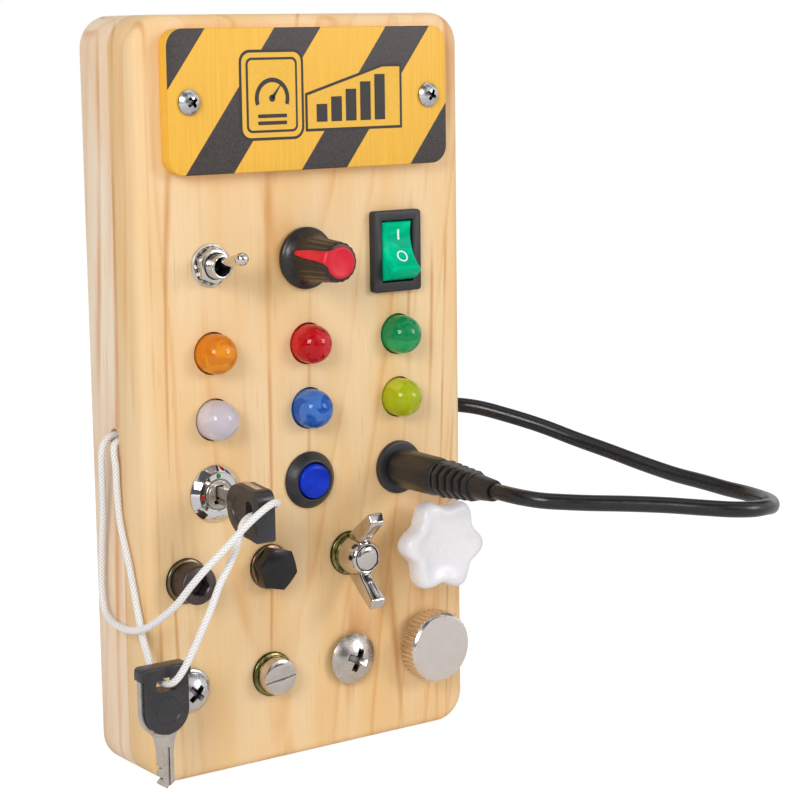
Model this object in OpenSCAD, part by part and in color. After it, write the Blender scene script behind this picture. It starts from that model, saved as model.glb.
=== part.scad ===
// Wooden busy board: a two-layer pine block that stands on its bottom end.
// The front carries working switches, lamps, a lock, a plug and eight screws.
// Millimetres, +Z up. The origin is the centre of the block's bottom face.

/* [Block] */
// Width of the block
board_w = 97; // [96:1:120]
// Height of the block
board_h = 190; // [189:1:240]
// Thickness of the front layer
front_t = 12; // [12:0.5:16]
// Thickness of the back layer
back_t = 15; // [14.5:0.5:20]
// Outline corner radius of the block
corner_r = 8; // [4:0.5:10]
// Round-over of the front edge
front_round = 2.6; // [1:0.1:4]
// Round-over of the back edge
back_round = 1.5; // [0.5:0.1:3]
// Wood left in front of the wiring pocket
front_wall = 4; // [3:0.25:5]
// Wood left behind the wiring pocket
back_wall = 3; // [2:0.25:4]
// Wood left beside the wiring pocket
side_wall = 8.5; // [7.5:0.25:9]
// Lower edge of the wiring pocket
pocket_low = 63.5; // [63:0.1:64]
// Upper edge of the wiring pocket
pocket_high = 146; // [144:1:150]

/* [Layout] */
// Middle of the switch row
switch_x = -0.9; // [-3:0.1:3]
// Distance of the outer switches from the block's sides, if the row is centred
switch_edge = 20.9; // [20:0.1:22]
// Height of the switch row
switch_z = 129.4; // [128:0.2:131]
// How far the toggle switch sits below its row
toggle_drop = 0; // [0:0.1:1]
// Middle of the lamp columns
lamp_x = -0.3; // [-3:0.1:3]
// Distance of the outer lamps from the block's sides, if the row is centred
lamp_edge = 20.5; // [18.5:0.5:28.5]
// Height of the lower lamp row
lamp_z = 91; // [90:0.5:92]
// Spacing of the lamp rows
lamp_pitch_z = 16.6; // [15:0.2:18]
// Middle of the lock, button and jack row
port_x = -0.7; // [-3:0.1:3]
// Distance of the lock and the jack from the block's sides, if the row is centred
port_edge = 20.65; // [20:0.05:22]
// Height of the lock, button and jack row
port_z = 72.4; // [71.5:0.1:74]
// Distance of the first screw column from the block's left side
screw_edge = 10.7; // [10:0.1:12.5]
// Distance of the last screw column from the block's right side
screw_far_edge = 13.1; // [11.3:0.1:13.7]
// Height of the lower screw row
screw_z = 23.4; // [22:0.2:25]
// Spacing of the screw rows
screw_pitch_z = 28.2; // [26:0.2:30]

/* [Sign] */
// Width of the sign
sign_w = 82.5; // [76:0.5:90]
// Height of the sign
sign_h = 35; // [25:0.5:40]
// Thickness of the sign
sign_t = 4; // [3:0.5:6]
// Corner radius of the sign
sign_r = 4.5; // [2:0.5:8]
// Middle of the sign
sign_z = 169.2; // [168:0.2:172]
// Distance of the sign screws from the middle
sign_screw_x = 35.4; // [30:0.2:36]
// Head diameter of the sign screws
sign_head_d = 6.2; // [5.5:0.1:7]
// Shank diameter of the sign and layer screws
wood_screw_d = 3; // [2.5:0.1:3.5]
// Length of the sign screws under the head
sign_screw_l = 12; // [9:0.5:14]

/* [Threaded screws] */
// Thread diameter of the eight screws
thread_d = 6; // [5:0.1:6.4]
// Shank length below the washer
shank_l = 10.8; // [8:0.2:11]
// Washer diameter
washer_d = 12.2; // [11:0.1:12.8]
// Washer thickness
washer_t = 1.2; // [0.8:0.1:1.6]
// Clearance round a shank in its washer
washer_gap = 0.2; // [0.1:0.05:0.3]
// Outside diameter of the threaded inserts
insert_d = 8.4; // [8:0.1:9]
// Running clearance of a screw in its insert
thread_gap = 0.05; // [0.02:0.01:0.08]
// Head diameter of the socket screw
cap_head_d = 9.9; // [9:0.1:10.5]
// Head height of the socket screw
cap_head_h = 5.8; // [4.5:0.1:6.5]
// Hexagon key size of the socket screw
cap_key = 5; // [4:0.5:5]
// Width across flats of the hexagon bolt
hex_flats = 10; // [9:0.1:10.4]
// Head height of the hexagon bolt
hex_head_h = 3.9; // [3:0.1:5]
// Reach of the wings from the axis
wing_reach = 12.6; // [10:0.1:12.8]
// Height of the wing tips above the washer
wing_h = 13; // [10:0.1:14]
// Front diameter of the wing hub
wing_hub_d = 9.1; // [8.5:0.1:10]
// Height of the wing hub
wing_hub_h = 7.6; // [6:0.1:9]
// Reach of the star knob's lobes
star_reach = 12.8; // [10:0.1:13]
// Depth of the hollows between the lobes
star_hollow = 2.6; // [1:0.1:3]
// Thickness of the star knob's head
star_t = 6.6; // [5:0.1:8]
// Height of the star knob's neck
star_neck_h = 3; // [2:0.1:4]
// Head diameter of the cross-recess pan screw
pan_head_d = 9.6; // [9:0.1:10.5]
// Head height of the cross-recess pan screw
pan_head_h = 3.2; // [2.5:0.1:4]
// Head diameter of the slotted screw
slot_head_d = 9.2; // [8.5:0.1:10.5]
// Head height of the slotted screw
slot_head_h = 3.6; // [2.8:0.1:4.5]
// Head diameter of the truss screw
truss_head_d = 13.5; // [12:0.1:14.5]
// Head height of the truss screw
truss_head_h = 3; // [2.4:0.1:4]
// Head diameter of the thumb screw
thumb_head_d = 18.5; // [15:0.1:19]
// Head height of the thumb screw
thumb_head_h = 6.6; // [5:0.1:8]

/* [Toggle switch] */
// Thread diameter of the toggle's bush
bush_d = 6.1; // [6:0.1:6.6]
// Height of the bush in front of the wood
bush_h = 6.2; // [4.5:0.1:6.5]
// Bore of the bush at its mouth
bush_bore = 5.2; // [5:0.1:5.3]
// Width across flats of the toggle nut
toggle_flats = 8.2; // [8:0.1:10]
// Thickness of the toggle nut
toggle_nut_t = 2.4; // [1.5:0.1:3]
// Diameter of the toggle washer
toggle_washer_d = 10.6; // [10:0.1:12.8]
// Thickness of the toggle washer
toggle_washer_t = 0.8; // [0.5:0.1:1.2]
// Tip diameter of the lever
lever_d = 2.9; // [2.4:0.1:3.2]
// Length of the lever from its pivot
lever_l = 15.2; // [12:0.1:18]
// Height of the pivot in front of the wood
pivot_h = 1; // [0.5:0.1:1.5]
// Tilt of the lever to either side
lever_tilt = 11; // [8:1:13]

/* [Knob] */
// Skirt diameter of the knob
skirt_d = 15.7; // [14.8:0.1:18]
// Height of the knob's top
knob_h = 17; // [15:0.1:19]
// Body diameter above the skirt
knob_low_d = 11.6; // [11:0.1:13]
// Body diameter at the top
knob_top_d = 9.8; // [9:0.1:10.8]
// Number of flutes
knob_flutes = 18; // [12:1:24]
// Diameter of the coloured cap
cap_d = 8.1; // [7:0.1:8.6]
// Width of the pointer
pointer_w = 2; // [1.5:0.1:2.5]
// Direction of the pointer at rest
pointer_angle = 161; // [160:1:162]
// Diameter of the control's shaft
pot_shaft_d = 6; // [5:0.1:6.2]

/* [Rocker switch] */
// Width of the bezel
bezel_w = 15; // [14.2:0.1:16]
// Height of the bezel
bezel_h = 21; // [20.2:0.1:22]
// Thickness of the bezel
bezel_t = 2; // [1.5:0.1:2.5]
// Width of the rocker
rocker_w = 9.2; // [8:0.1:9.6]
// Radius of the rocker's ends about its pivot
rocker_r = 7.7; // [7:0.1:7.9]
// Side clearance of the rocker
rocker_gap = 0.3; // [0.2:0.05:0.5]
// Depth of the switch housing behind the wood's face
housing_depth = 16; // [12:0.5:17]

/* [Lamps] */
// Lens diameter
lamp_d = 10; // [8:0.1:10.2]
// Height of the lens's straight part in front of the wood
lamp_h = 2.2; // [1:0.1:3]
// Clearance of the lens in the wood
lamp_gap = 0.35; // [0.2:0.05:0.45]
// Flange diameter of the lamp
flange_d = 11.8; // [11.6:0.1:12.4]
// Flange thickness
flange_t = 1.5; // [1:0.1:2]
// Length of the lamp's legs to the board
leg_l = 3; // [2:0.1:4]
// Circuit board thickness
pcb_t = 1.6; // [1:0.1:2]

/* [Lock and keys] */
// Rim diameter of the lock
lock_rim_d = 14.2; // [14:0.1:17]
// Rim thickness
lock_rim_t = 2; // [1.5:0.1:3]
// Thread diameter of the lock barrel
lock_d = 12; // [11.5:0.1:12.4]
// Length of the barrel behind the wood's face
lock_l = 17; // [14:0.5:18]
// Core diameter
core_d = 7.4; // [7:0.1:8]
// Key blade thickness
blade_t = 1.8; // [1.5:0.1:2]
// Key blade width
blade_w = 4.2; // [3.6:0.1:4.6]
// Key blade length from the head
blade_l = 14; // [13:0.5:16]
// Key head length
head_l = 17; // [15:0.5:18]
// Key head width at the outer end
head_w = 13.2; // [12:0.1:13.5]
// Key head thickness
head_t = 4.8; // [4:0.1:5]
// Gap between the lock's face and the key head
key_gap = 8; // [6:0.5:9]
// Hole in the key head
key_hole_d = 3.4; // [3:0.1:4]

/* [Button and jack] */
// Bezel diameter of the button
button_bezel_d = 14.7; // [14.2:0.1:16]
// Bezel thickness
button_bezel_t = 2.6; // [1.5:0.1:3]
// Cap diameter of the button
button_d = 8.9; // [8:0.1:9.8]
// Height of the cap above the wood
button_h = 3.6; // [3:0.1:5]
// Travel of the button
button_travel = 2.5; // [1:0.1:3]
// Flange diameter of the jack
jack_flange_d = 14; // [13.6:0.1:16]
// Flange thickness of the jack
jack_flange_t = 1.5; // [1:0.1:2.5]
// Thread diameter of the button and the jack
port_d = 11.8; // [11:0.1:12.2]
// Barrel diameter of the plug
barrel_d = 5.5; // [5:0.1:5.5]
// Barrel length of the plug
barrel_l = 9.5; // [8:0.5:10]
// Body diameter of the plug
plug_d = 9.6; // [8.5:0.1:10.5]
// Body length of the plug
plug_l = 18.5; // [15:0.5:22]
// Number of ribs on the strain relief
relief_ribs = 5; // [4:1:6]
// Length of the ribbed strain relief
relief_l = 14; // [12:0.5:16]
// Length of the collar at the relief's end
collar_l = 7.4; // [6:0.2:8]
// Cable diameter
cable_d = 4; // [3.5:0.1:4.2]
// String diameter
string_d = 1.8; // [1.5:0.1:1.9]

/* [Battery bay] */
// Cell diameter
cell_d = 10.5; // [10:0.1:10.8]
// Cell length
cell_l = 44.5; // [43:0.5:46]
// Number of cells
cells = 3; // [2:1:3]
// Wall of the battery box
box_wall = 1; // [0.8:0.1:1.4]
// Space for the contacts at each end of a cell
contact_space = 2; // [1.5:0.1:2.5]
// Lower edge of the battery bay
bay_low = 6; // [5:0.5:6]
// Battery cover thickness
cover_t = 2; // [1.5:0.1:2.5]
// Width of the ledge under the cover
cover_ledge = 3; // [2.5:0.5:4]
// Clearance round the cover
cover_gap = 0.3; // [0.2:0.05:0.5]

/* [Hidden] */

seat_gap = 0.05;
eps = 0.5;
front_y = -(front_t + back_t) / 2;
seam_y = front_y + front_t;
back_y = front_y + front_t + back_t;
pocket_w = board_w - 2 * side_wall;
pocket_depth = front_t + back_t - back_wall;

// Spacings across the front
switch_pitch = board_w / 2 - switch_edge;
lamp_pitch_x = board_w / 2 - lamp_edge;
port_pitch = board_w / 2 - port_edge;
screw_x = screw_edge - board_w / 2;
screw_pitch = (board_w - screw_edge - screw_far_edge) / 3;

// Places on the front face, as [x, z]
toggle_at = [switch_x - switch_pitch, switch_z - toggle_drop];
knob_at = [switch_x, switch_z];
rocker_at = [switch_x + switch_pitch, switch_z];
lock_at = [port_x - port_pitch, port_z];
button_at = [port_x, port_z];
jack_at = [port_x + port_pitch, port_z];
function lamp_at(col, row) = [lamp_x + (col - 1) * lamp_pitch_x, lamp_z + row * lamp_pitch_z];
function screw_at(col, row) = [screw_x + col * screw_pitch, screw_z + row * screw_pitch_z];

// Places of the layer screws, as [x, z]
layer_edge = side_wall / 2;
layer_screw_x = board_w / 2 - layer_edge;
layer_screw_low = 12;
layer_screw_mid = 118;
layer_screw_tip = 4;
layer_screws = [
    for (side = [-1, 1], z = [layer_screw_low, layer_screw_mid, board_h - layer_screw_low])
        [side * layer_screw_x, z]
];
layer_screw_l = back_t + front_t - layer_screw_tip;
layer_head_d = 1.75 * wood_screw_d;

// Battery bay
cell_pitch = cell_d + 1.2;
box_in_w = cells * cell_pitch - 0.6;
box_in_h = cell_l + 2 * contact_space;
box_w = box_in_w + 2 * box_wall;
box_h = box_in_h + 2 * box_wall;
box_z = bay_low + box_h / 2;
bay_gap = 0.1;
cell_y = seam_y + box_wall + cell_d / 2 + seat_gap;
function cell_x(i) = (i - (cells - 1) / 2) * cell_pitch;
cover_tab = 7;
cover_w = box_w + 2 * cover_ledge;
cover_h = box_h + cover_tab;
cover_z = bay_low + cover_h / 2;
cover_r = 3;
cover_head_h = 1.3;
cover_screw_z = bay_low + box_h + cover_tab / 2;
cover_screw_l = 9;
contact_plate = [7, 7, 0.4];
contact_spring_r = 3;
contact_wire = 0.6;
lead_d = 1.2;
lead_x = 12;
lead_y = seam_y + 2.5;
lead_drop = 3;
scoop_d = 12;
scoop_depth = 0.8;

// Toggle switch behind the front
toggle_case = [8, 13, 10];
toggle_pin = [2, 0.8, 4];
toggle_pin_pitch = 4.7;

// Circuit board: its clearance in the pocket and its margin above and below the lamps
board_clear = 4;
board_over = 7;
lamp_leg = 0.6;
lamp_leg_x = 1.27;

// Knob
knob_skirt_h = 3.2;
knob_lift = 0.5;
knob_cap_t = 0.9;
pot_nut_t = 2;
pot_bush_h = 5;
pot_nut_flats = 10;
pot_bush_d = 7;
pot_case_d = 16.5;
pot_case_t = 8.5;
pot_floor_t = 2;
pot_pin = [1.2, 6, 0.8];
pot_pin_out = 3.5;
pot_pin_pitch = 5;
pot_flat = pot_shaft_d * 0.28;
shaft_gap = 0.05;
knob_room = 0.5;
knob_bore_z = pot_bush_h + knob_room;
knob_shaft_z = knob_h - 4;
flute_depth = 0.5;
flute_r = 0.9;
knob_grip_z = knob_lift + knob_skirt_h;
knob_top_z = knob_h - knob_cap_t;

// Lock and key
core_gap = 0.05;
key_in = blade_l - key_gap;
head_round = 5.6;
head_in_w = head_w - 1.4;
key_hole_in = 4.4;
key_hole_w = 6.4;
frame_w = 0.7;
neck_w = 7.6;
frame_from = 3.2;
spare_hole = [lock_at[0] - 23.85, -26.5, 31.2];

// Rocker: its front is a shallow V, and one end is down at rest
rocker_tilt = 20;
rocker_lip = 55;
rocker_pivot_h = 0;
opening_h = 2 * (rocker_r + rocker_gap);
opening_w = rocker_w + 2 * rocker_gap;
rocker_hollow = 1.9;
rocker_foot = 40;
trunnion_d = 2;
trunnion_w = rocker_w + 2.2;
housing_w = opening_w + 3;
housing_h = opening_h + 2.6;

// Cords, as points along their middle: x from the jack's axis, and from the lock's
cable_points = [
    [0, front_y - jack_flange_t - plug_l - relief_l - collar_l, port_z],
    [0, -59.5, 72.4], [0.95, -64.5, 72.2], [3.65, -69, 71.8], [8.15, -72.5, 71.4], [13.65, -76, 71],
    [20.65, -81.5, 70.8], [27.65, -87.5, 70.5], [34.15, -93.5, 70], [39.65, -97.5, 69.5],
    [45.65, -99, 69], [51.65, -97.5, 68.5], [57.65, -94, 67.5], [63.15, -89, 67],
    [67.15, -83, 66.5], [68.65, -76, 66.5], [67.15, -69.5, 67], [64.65, -63, 68],
    [61.15, -55, 69.2], [57.15, -46.5, 71.2], [53.15, -37.5, 73.5], [49.15, -28, 76],
    [44.15, -19.5, 79], [38.65, -12, 81.5], [33.15, -5.5, 83.5], [28.15, -1, 84.3],
    [23.15, 1.3, 84.5], [16.65, 1.5, 84.5], [10.15, 1.5, 84.5]
];
string_points = [
    [-9.45, 1.85, 87.4], [-15.45, 1.85, 87.4], [-19.05, 1.8, 87.4], [-21.65, 1.3, 86.9],
    [-23.45, 0.6, 85.2], [-24.05, 0.5, 82.4], [-23.45, 1.7, 76.4], [-22.45, 3.6, 68.4],
    [-22.05, 5.5, 59.3], [-21.85, 6.7, 51], [-22.05, 6.3, 45.6], [-22.65, 3.6, 42.1],
    [-23.65, -1.4, 41], [-24.45, -7, 40.9], [-24.85, -12.5, 41.3], [-24.45, -18.5, 42.7],
    [-23.45, -24.5, 46], [-22.05, -31, 51], [-20.35, -36.5, 57], [-16.95, -40, 62.4],
    [-13.65, -41.6, 65.9], [-9.85, -42.6, 69.5], [-6.25, -43.2, 72.6], [-2.65, -43.4, 75],
    [0.95, -42.7, 76.1], [4.15, -40.6, 75.6], [5.55, -37.8, 74.4], [4.55, -36.2, 73],
    [1.95, -36.1, 72.4], [-1.85, -36.1, 72.1], [-4.25, -36.5, 70.6], [-5.55, -37.1, 67.8],
    [-7.45, -38, 65], [-10.15, -38.9, 61.6], [-13.25, -38.6, 57], [-15.85, -37, 50],
    [-18.05, -35.2, 44.2], [-20.85, -33, 36.6], [-22.95, -31, 32.4], [-23.85, -28, 31.2],
    [-23.85, -24.8, 31.4], [-24.15, -22, 33.2], [-23.85, -19.4, 36.2], [-22.65, -14.6, 40.4],
    [-21.65, -11.4, 44], [-21.15, -7.1, 54.7], [-21.15, -2.8, 65.8], [-21.15, -1.6, 74.1],
    [-21.35, -1.7, 80], [-21.65, -1.6, 83], [-21.05, -0.9, 85.4], [-18.85, 0, 86.2],
    [-15.45, 0.15, 86.2], [-9.45, 0.15, 86.2]
];
cable_route = [for (p = cable_points) p + [jack_at[0], 0, 0]];
string_route = [for (p = string_points) p + [lock_at[0], 0, 0]];
cable_hole = [1.5, 84.5];
string_hole = [1, 86.8];
cord_hole_gap = 0.2;
string_hole_d = 2.55 * string_d;
string_step = 8;
knot_r = 2.7;
knot_x = -pocket_w / 2 + knot_r + seat_gap;

// Button, jack and details of the screws
button_gap = 0.25;
button_depth = 9;
button_floor_t = 2;
button_pin = [2, 0.6, 4];
button_pin_x = 3;
ring_nut_flats = 14;
ring_nut_t = 2.2;
plug_gap = 0.05;
jack_pin_d = 2;
hex_turn = -14.5;
wing_turn = 0;
wing_t = 2.8;
star_lobes = 6;
star_turn = 55;
star_stud_z = 6;
slot_turn = 8;
thumb_teeth = 60;

// ---------- shared shapes ----------

// Points of an arc in a plane
function arc(c, r, a0, a1, n) =
    [for (i = [0 : n]) c + r * [cos(a0 + (a1 - a0) * i / n), sin(a0 + (a1 - a0) * i / n)]];

// Outline of a rounded rectangle about the origin
function rounded(w, h, r, n = 6) = concat(
    arc([w / 2 - r, h / 2 - r], r, 0, 90, n),
    arc([-w / 2 + r, h / 2 - r], r, 90, 180, n),
    arc([-w / 2 + r, -h / 2 + r], r, 180, 270, n),
    arc([w / 2 - r, -h / 2 + r], r, 270, 360, n)
);

// A point of the front face becomes the origin, and the outward direction becomes +Z
module on_face(at) {
    translate([at[0], front_y, at[1]]) rotate([90, 0, 0]) children();
}

// A point of the back face becomes the origin, and the outward direction becomes +Z
module on_back(at) {
    translate([at[0], back_y, at[1]]) rotate([-90, 0, 0]) children();
}

// A turned piece from its half section
module turned(points) {
    rotate_extrude($fn = 48) polygon(points);
}

// A straight bore or bar between two heights
module bar(d, z0, z1, fn = 48) {
    translate([0, 0, z0]) cylinder(d = d, h = z1 - z0, $fn = fn);
}

// A hexagon between two heights, given across its flats
module hexagon(flats, z0, z1) {
    bar(flats / cos(30), z0, z1, 6);
}

// A solid through rings of points that turn anticlockwise seen from above
module loft(rings) {
    n = len(rings[0]);
    m = len(rings);
    points = [for (ring = rings, p = ring) p];
    sides = [for (i = [0 : m - 2], j = [0 : n - 1])
        [i * n + j, (i + 1) * n + j, (i + 1) * n + (j + 1) % n, i * n + (j + 1) % n]];
    low = [for (j = [0 : n - 1]) j];
    high = [for (j = [n - 1 : -1 : 0]) (m - 1) * n + j];
    polyhedron(points, concat(sides, [low, high]));
}

// Two crossed slots, narrowing with depth
module cross_recess(length, width, top_z, depth) {
    for (turn = [0, 90]) {
        rotate([0, 0, turn + 45]) translate([0, 0, top_z + eps]) rotate([90, 0, 0])
            translate([0, 0, -width / 2]) linear_extrude(width) polygon([
                [-length / 2, 0], [-length / 2, -eps], [-length * 0.22, -eps - depth],
                [length * 0.22, -eps - depth], [length / 2, -eps], [length / 2, 0]
            ]);
    }
}

function unit(v) = v / norm(v);
function across(v, t) = unit(v - (v * t) * t);

// Smooth points along a route, closer than the given step
function between(p, i, s) =
    let (a = p[max(i - 1, 0)], b = p[i], c = p[i + 1], d = p[min(i + 2, len(p) - 1)])
    0.5 * (2 * b + (c - a) * s + (2 * a - 5 * b + 4 * c - d) * pow(s, 2)
        + (3 * b - 3 * c + d - a) * pow(s, 3));
function steps(p, i, step) = max(1, round(norm(p[i + 1] - p[i]) / step));
function smooth(p, step) = concat(
    [for (i = [0 : len(p) - 2], k = [0 : steps(p, i, step) - 1])
        between(p, i, k / steps(p, i, step))],
    [p[len(p) - 1]]
);

// Sides of a tube that follows a route without twisting
function tangent(p, i) = unit(p[min(i + 1, len(p) - 1)] - p[max(i - 1, 0)]);
function frames(p) = [
    for (i = 0, u = across([0, 0.3, 1], tangent(p, 0)); i < len(p);
        i = i + 1, u = across(u, tangent(p, min(i, len(p) - 1)))) u
];
function tube(p, r, n) = let (f = frames(p)) [
    for (i = [0 : len(p) - 1]) let (t = tangent(p, i), v = cross(t, f[i]))
        [for (j = [0 : n - 1]) p[i] + r * (cos(360 * j / n) * f[i] + sin(360 * j / n) * v)]
];

// ---------- wooden block ----------

// A layer's outline, shrunk by an inset, between two depths from the front face
module slice(inset, y0, y1) {
    translate([0, front_y + y1, board_h / 2]) rotate([90, 0, 0]) linear_extrude(y1 - y0)
        polygon(rounded(board_w - 2 * inset, board_h - 2 * inset, corner_r - inset, 8));
}

module front_blank() {
    hull() {
        for (a = [0 : 22.5 : 67.5]) {
            slice(front_round * (1 - cos(90 - a)), front_round * (1 - sin(90 - a)),
                front_round * (1 - sin(90 - a)) + 0.01);
        }
        slice(0, front_round, front_t);
    }
}

module back_blank() {
    total = front_t + back_t;
    hull() {
        slice(0, front_t, total - back_round);
        for (a = [30 : 30 : 90]) {
            slice(back_round * (1 - cos(a)), total - back_round * (1 - sin(a)) - 0.01,
                total - back_round * (1 - sin(a)));
        }
    }
}

// The hollow that holds the wiring, between two depths from the front face
module pocket(depth0, depth1) {
    translate([-pocket_w / 2, front_y + depth0, pocket_low])
        cube([pocket_w, depth1 - depth0, pocket_high - pocket_low]);
}

module panel_bore(at, d) {
    on_face(at) bar(d, -front_t - eps, eps);
}

module front_panel() {
    color("burlywood") difference() {
        front_blank();
        pocket(front_wall, front_t + eps);
        for (col = [0 : 2], row = [0, 1]) {
            panel_bore(lamp_at(col, row), lamp_d + 2 * lamp_gap);
        }
        for (col = [0 : 3], row = [0, 1]) {
            panel_bore(screw_at(col, row), insert_d + 2 * seat_gap);
        }
        panel_bore(toggle_at, bush_d + 2 * seat_gap);
        panel_bore(knob_at, pot_bush_d + 2 * seat_gap);
        panel_bore(lock_at, lock_d + 2 * seat_gap);
        panel_bore(button_at, port_d + 2 * seat_gap);
        panel_bore(jack_at, port_d + 2 * seat_gap);
        on_face(rocker_at) translate([0, 0, -front_wall - eps])
            linear_extrude(front_wall + 2 * eps)
            square([housing_w, housing_h] + 2 * seat_gap * [1, 1], center = true);
        for (side = [-1, 1]) {
            on_face([side * sign_screw_x, sign_z])
                bar(wood_screw_d + 2 * seat_gap, sign_t - sign_screw_l - seat_gap, eps);
        }
        for (at = layer_screws) {
            on_back(at) bar(wood_screw_d + 2 * seat_gap, -layer_screw_l - seat_gap, 0);
        }
    }
}

module back_panel() {
    color("wheat") difference() {
        back_blank();
        pocket(front_t - eps, pocket_depth);
        on_back([0, box_z]) translate([0, 0, -back_t - eps]) linear_extrude(back_t + 2 * eps)
            square([box_w, box_h] + 2 * bay_gap * [1, 1], center = true);
        on_back([0, cover_z]) translate([0, 0, -cover_t]) linear_extrude(cover_t + eps)
            polygon(rounded(cover_w + 2 * cover_gap, cover_h + 2 * cover_gap, cover_r));
        on_back([0, cover_screw_z])
            bar(wood_screw_d + 2 * seat_gap, -cover_t - cover_screw_l, 0);
        for (at = layer_screws) {
            on_back(at) layer_screw_shape(seat_gap);
        }
        for (side = [-1, 1]) {
            translate([side * lead_x, lead_y, box_z]) bar(lead_d + 0.8, 0, pocket_low);
        }
        translate([0, cable_hole[0], cable_hole[1]]) rotate([0, 90, 0])
            bar(cable_d + 2 * cord_hole_gap, 0, board_w);
        translate([0, string_hole[0], string_hole[1]]) rotate([0, -90, 0])
            bar(string_hole_d, 0, board_w);
    }
}

// A countersunk screw, flush with the back face, grown by a clearance
module layer_screw_shape(gap) {
    r = wood_screw_d / 2 + gap;
    head = layer_head_d / 2 + gap;
    turned([
        [0, -layer_screw_l - gap], [0.3, -layer_screw_l - gap], [r, -layer_screw_l + 3],
        [r, -head + r], [head, 0], [head, gap], [0, gap]
    ]);
}

module panel_screws() {
    color("silver") for (at = layer_screws) {
        on_back(at) difference() {
            layer_screw_shape(0);
            cross_recess(layer_head_d * 0.6, 1, 0, 1.2);
        }
    }
}

// ---------- sign ----------

module sign_plate() {
    color("gold") difference() {
        on_face([0, sign_z]) linear_extrude(sign_t) polygon(rounded(sign_w, sign_h, sign_r));
        for (side = [-1, 1]) {
            on_face([side * sign_screw_x, sign_z])
                bar(wood_screw_d + 2 * seat_gap, -eps, sign_t + eps);
        }
    }
}

// Half section of a domed head with a straight rim, standing on a seat
function dome(d, h, seat, rim) =
    let (rise = h - rim, r = (pow(d / 2, 2) + pow(rise, 2)) / (2 * rise), a = asin(d / 2 / r))
    concat([[0, seat], [d / 2, seat]], arc([0, seat + h - r], r, 90 - a, 90, 8));

module sign_screws() {
    color("silver") for (side = [-1, 1]) {
        on_face([side * sign_screw_x, sign_z]) difference() {
            union() {
                turned(dome(sign_head_d, 2, sign_t, 0.5));
                bar(wood_screw_d, sign_t - sign_screw_l, sign_t + 0.5);
            }
            cross_recess(sign_head_d * 0.6, 1, sign_t + 2, 1.3);
        }
    }
}

// ---------- toggle switch ----------

module toggle_body() {
    color("silver") on_face(toggle_at) difference() {
        union() {
            turned([
                [0, -front_wall - eps], [bush_d / 2, -front_wall - eps],
                [bush_d / 2, bush_h - 0.4], [bush_d / 2 - 0.2, bush_h], [0, bush_h]
            ]);
            translate([-toggle_case[0] / 2, -toggle_case[1] / 2, -front_wall - toggle_case[2]])
                cube(toggle_case);
            for (row = [-1 : 1]) {
                translate([-toggle_pin[0] / 2, toggle_pin_pitch * row - toggle_pin[1] / 2,
                    -front_wall - toggle_case[2] - toggle_pin[2]]) cube(toggle_pin + [0, 0, eps]);
            }
        }
        turned([
            [0, -front_wall + 1], [bush_bore / 2, -front_wall + 1], [bush_bore / 2, bush_h + eps],
            [0, bush_h + eps]
        ]);
    }
}

module toggle_washer() {
    color("silver") on_face(toggle_at) difference() {
        bar(toggle_washer_d, 0, toggle_washer_t);
        bar(bush_d + 2 * seat_gap, -eps, toggle_washer_t + eps);
    }
}

// A hexagon nut with a chamfered front
module nut(flats, bore, z0, z1) {
    corner = flats / cos(30) / 2;
    difference() {
        intersection() {
            hexagon(flats, z0, z1);
            turned([
                [0, z0 - eps], [corner + eps, z0 - eps], [corner + eps, z1 - 0.8],
                [flats / 2 * 0.96, z1], [0, z1]
            ]);
        }
        bar(bore, z0 - eps, z1 + eps);
    }
}

module toggle_nut() {
    color("silver") on_face(toggle_at)
        nut(toggle_flats, bush_d + 2 * seat_gap, toggle_washer_t, toggle_washer_t + toggle_nut_t);
}

module toggle_lever() {
    ball = bush_bore / 2 - 0.35;
    neck = lever_d / 2 * 0.68;
    tip = lever_d / 2;
    color("silver") on_face(toggle_at) translate([0, 0, pivot_h]) rotate([-lever_tilt, 0, 0])
        turned(concat(
            [[0, -3], [neck * 0.8, -3], [neck, -ball + 0.35]],
            arc([0, 0], ball, -55, 60, 8),
            [[neck, ball + 0.3]],
            arc([0, lever_l - tip], tip, 0, 90, 6)
        ));
}

// ---------- knob ----------

// A shaft between two heights, with one flat that starts at a height
module d_shaft(d, z0, z1, flat_z, flat_at) {
    rotate([0, 0, pointer_angle]) difference() {
        bar(d, z0, z1);
        translate([flat_at, -d, flat_z]) cube([d, 2 * d, z1 - flat_z + eps]);
    }
}

module pot_body() {
    color("silver") on_face(knob_at) {
        difference() {
            union() {
                bar(pot_case_d, -front_wall - pot_case_t, -front_wall);
                bar(pot_bush_d, -front_wall - eps, pot_bush_h);
                for (row = [-1 : 1]) {
                    translate([pot_pin_pitch * row - pot_pin[0] / 2, -pot_case_d / 2 - pot_pin_out,
                        -front_wall - 0.7 * pot_case_t]) cube(pot_pin);
                }
            }
            bar(pot_shaft_d + 2 * shaft_gap, pot_floor_t - front_wall - pot_case_t, pot_bush_h + eps);
        }
        nut(pot_nut_flats, pot_bush_d + 2 * seat_gap, 0, pot_nut_t);
    }
}

module pot_shaft() {
    color("silver") on_face(knob_at)
        d_shaft(pot_shaft_d, pot_floor_t + knob_room - front_wall - pot_case_t, knob_shaft_z, knob_bore_z,
            pot_flat);
}

// Side view of the pointer, which runs from the cap down to the skirt
pointer_side = [
    [knob_top_d / 2 - 0.6, knob_h - knob_cap_t],
    [knob_low_d / 2 - 0.5, knob_lift + knob_skirt_h + 0.4],
    [skirt_d / 2 - 1.2, knob_lift + 1.9], [skirt_d / 2 - 0.3, knob_lift + 1.9],
    [knob_low_d / 2 + 0.5, knob_lift + knob_skirt_h + 0.9],
    [knob_top_d / 2 + 0.35, knob_h - 1.3], [knob_top_d / 2 - 0.5, knob_h]
];

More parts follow.
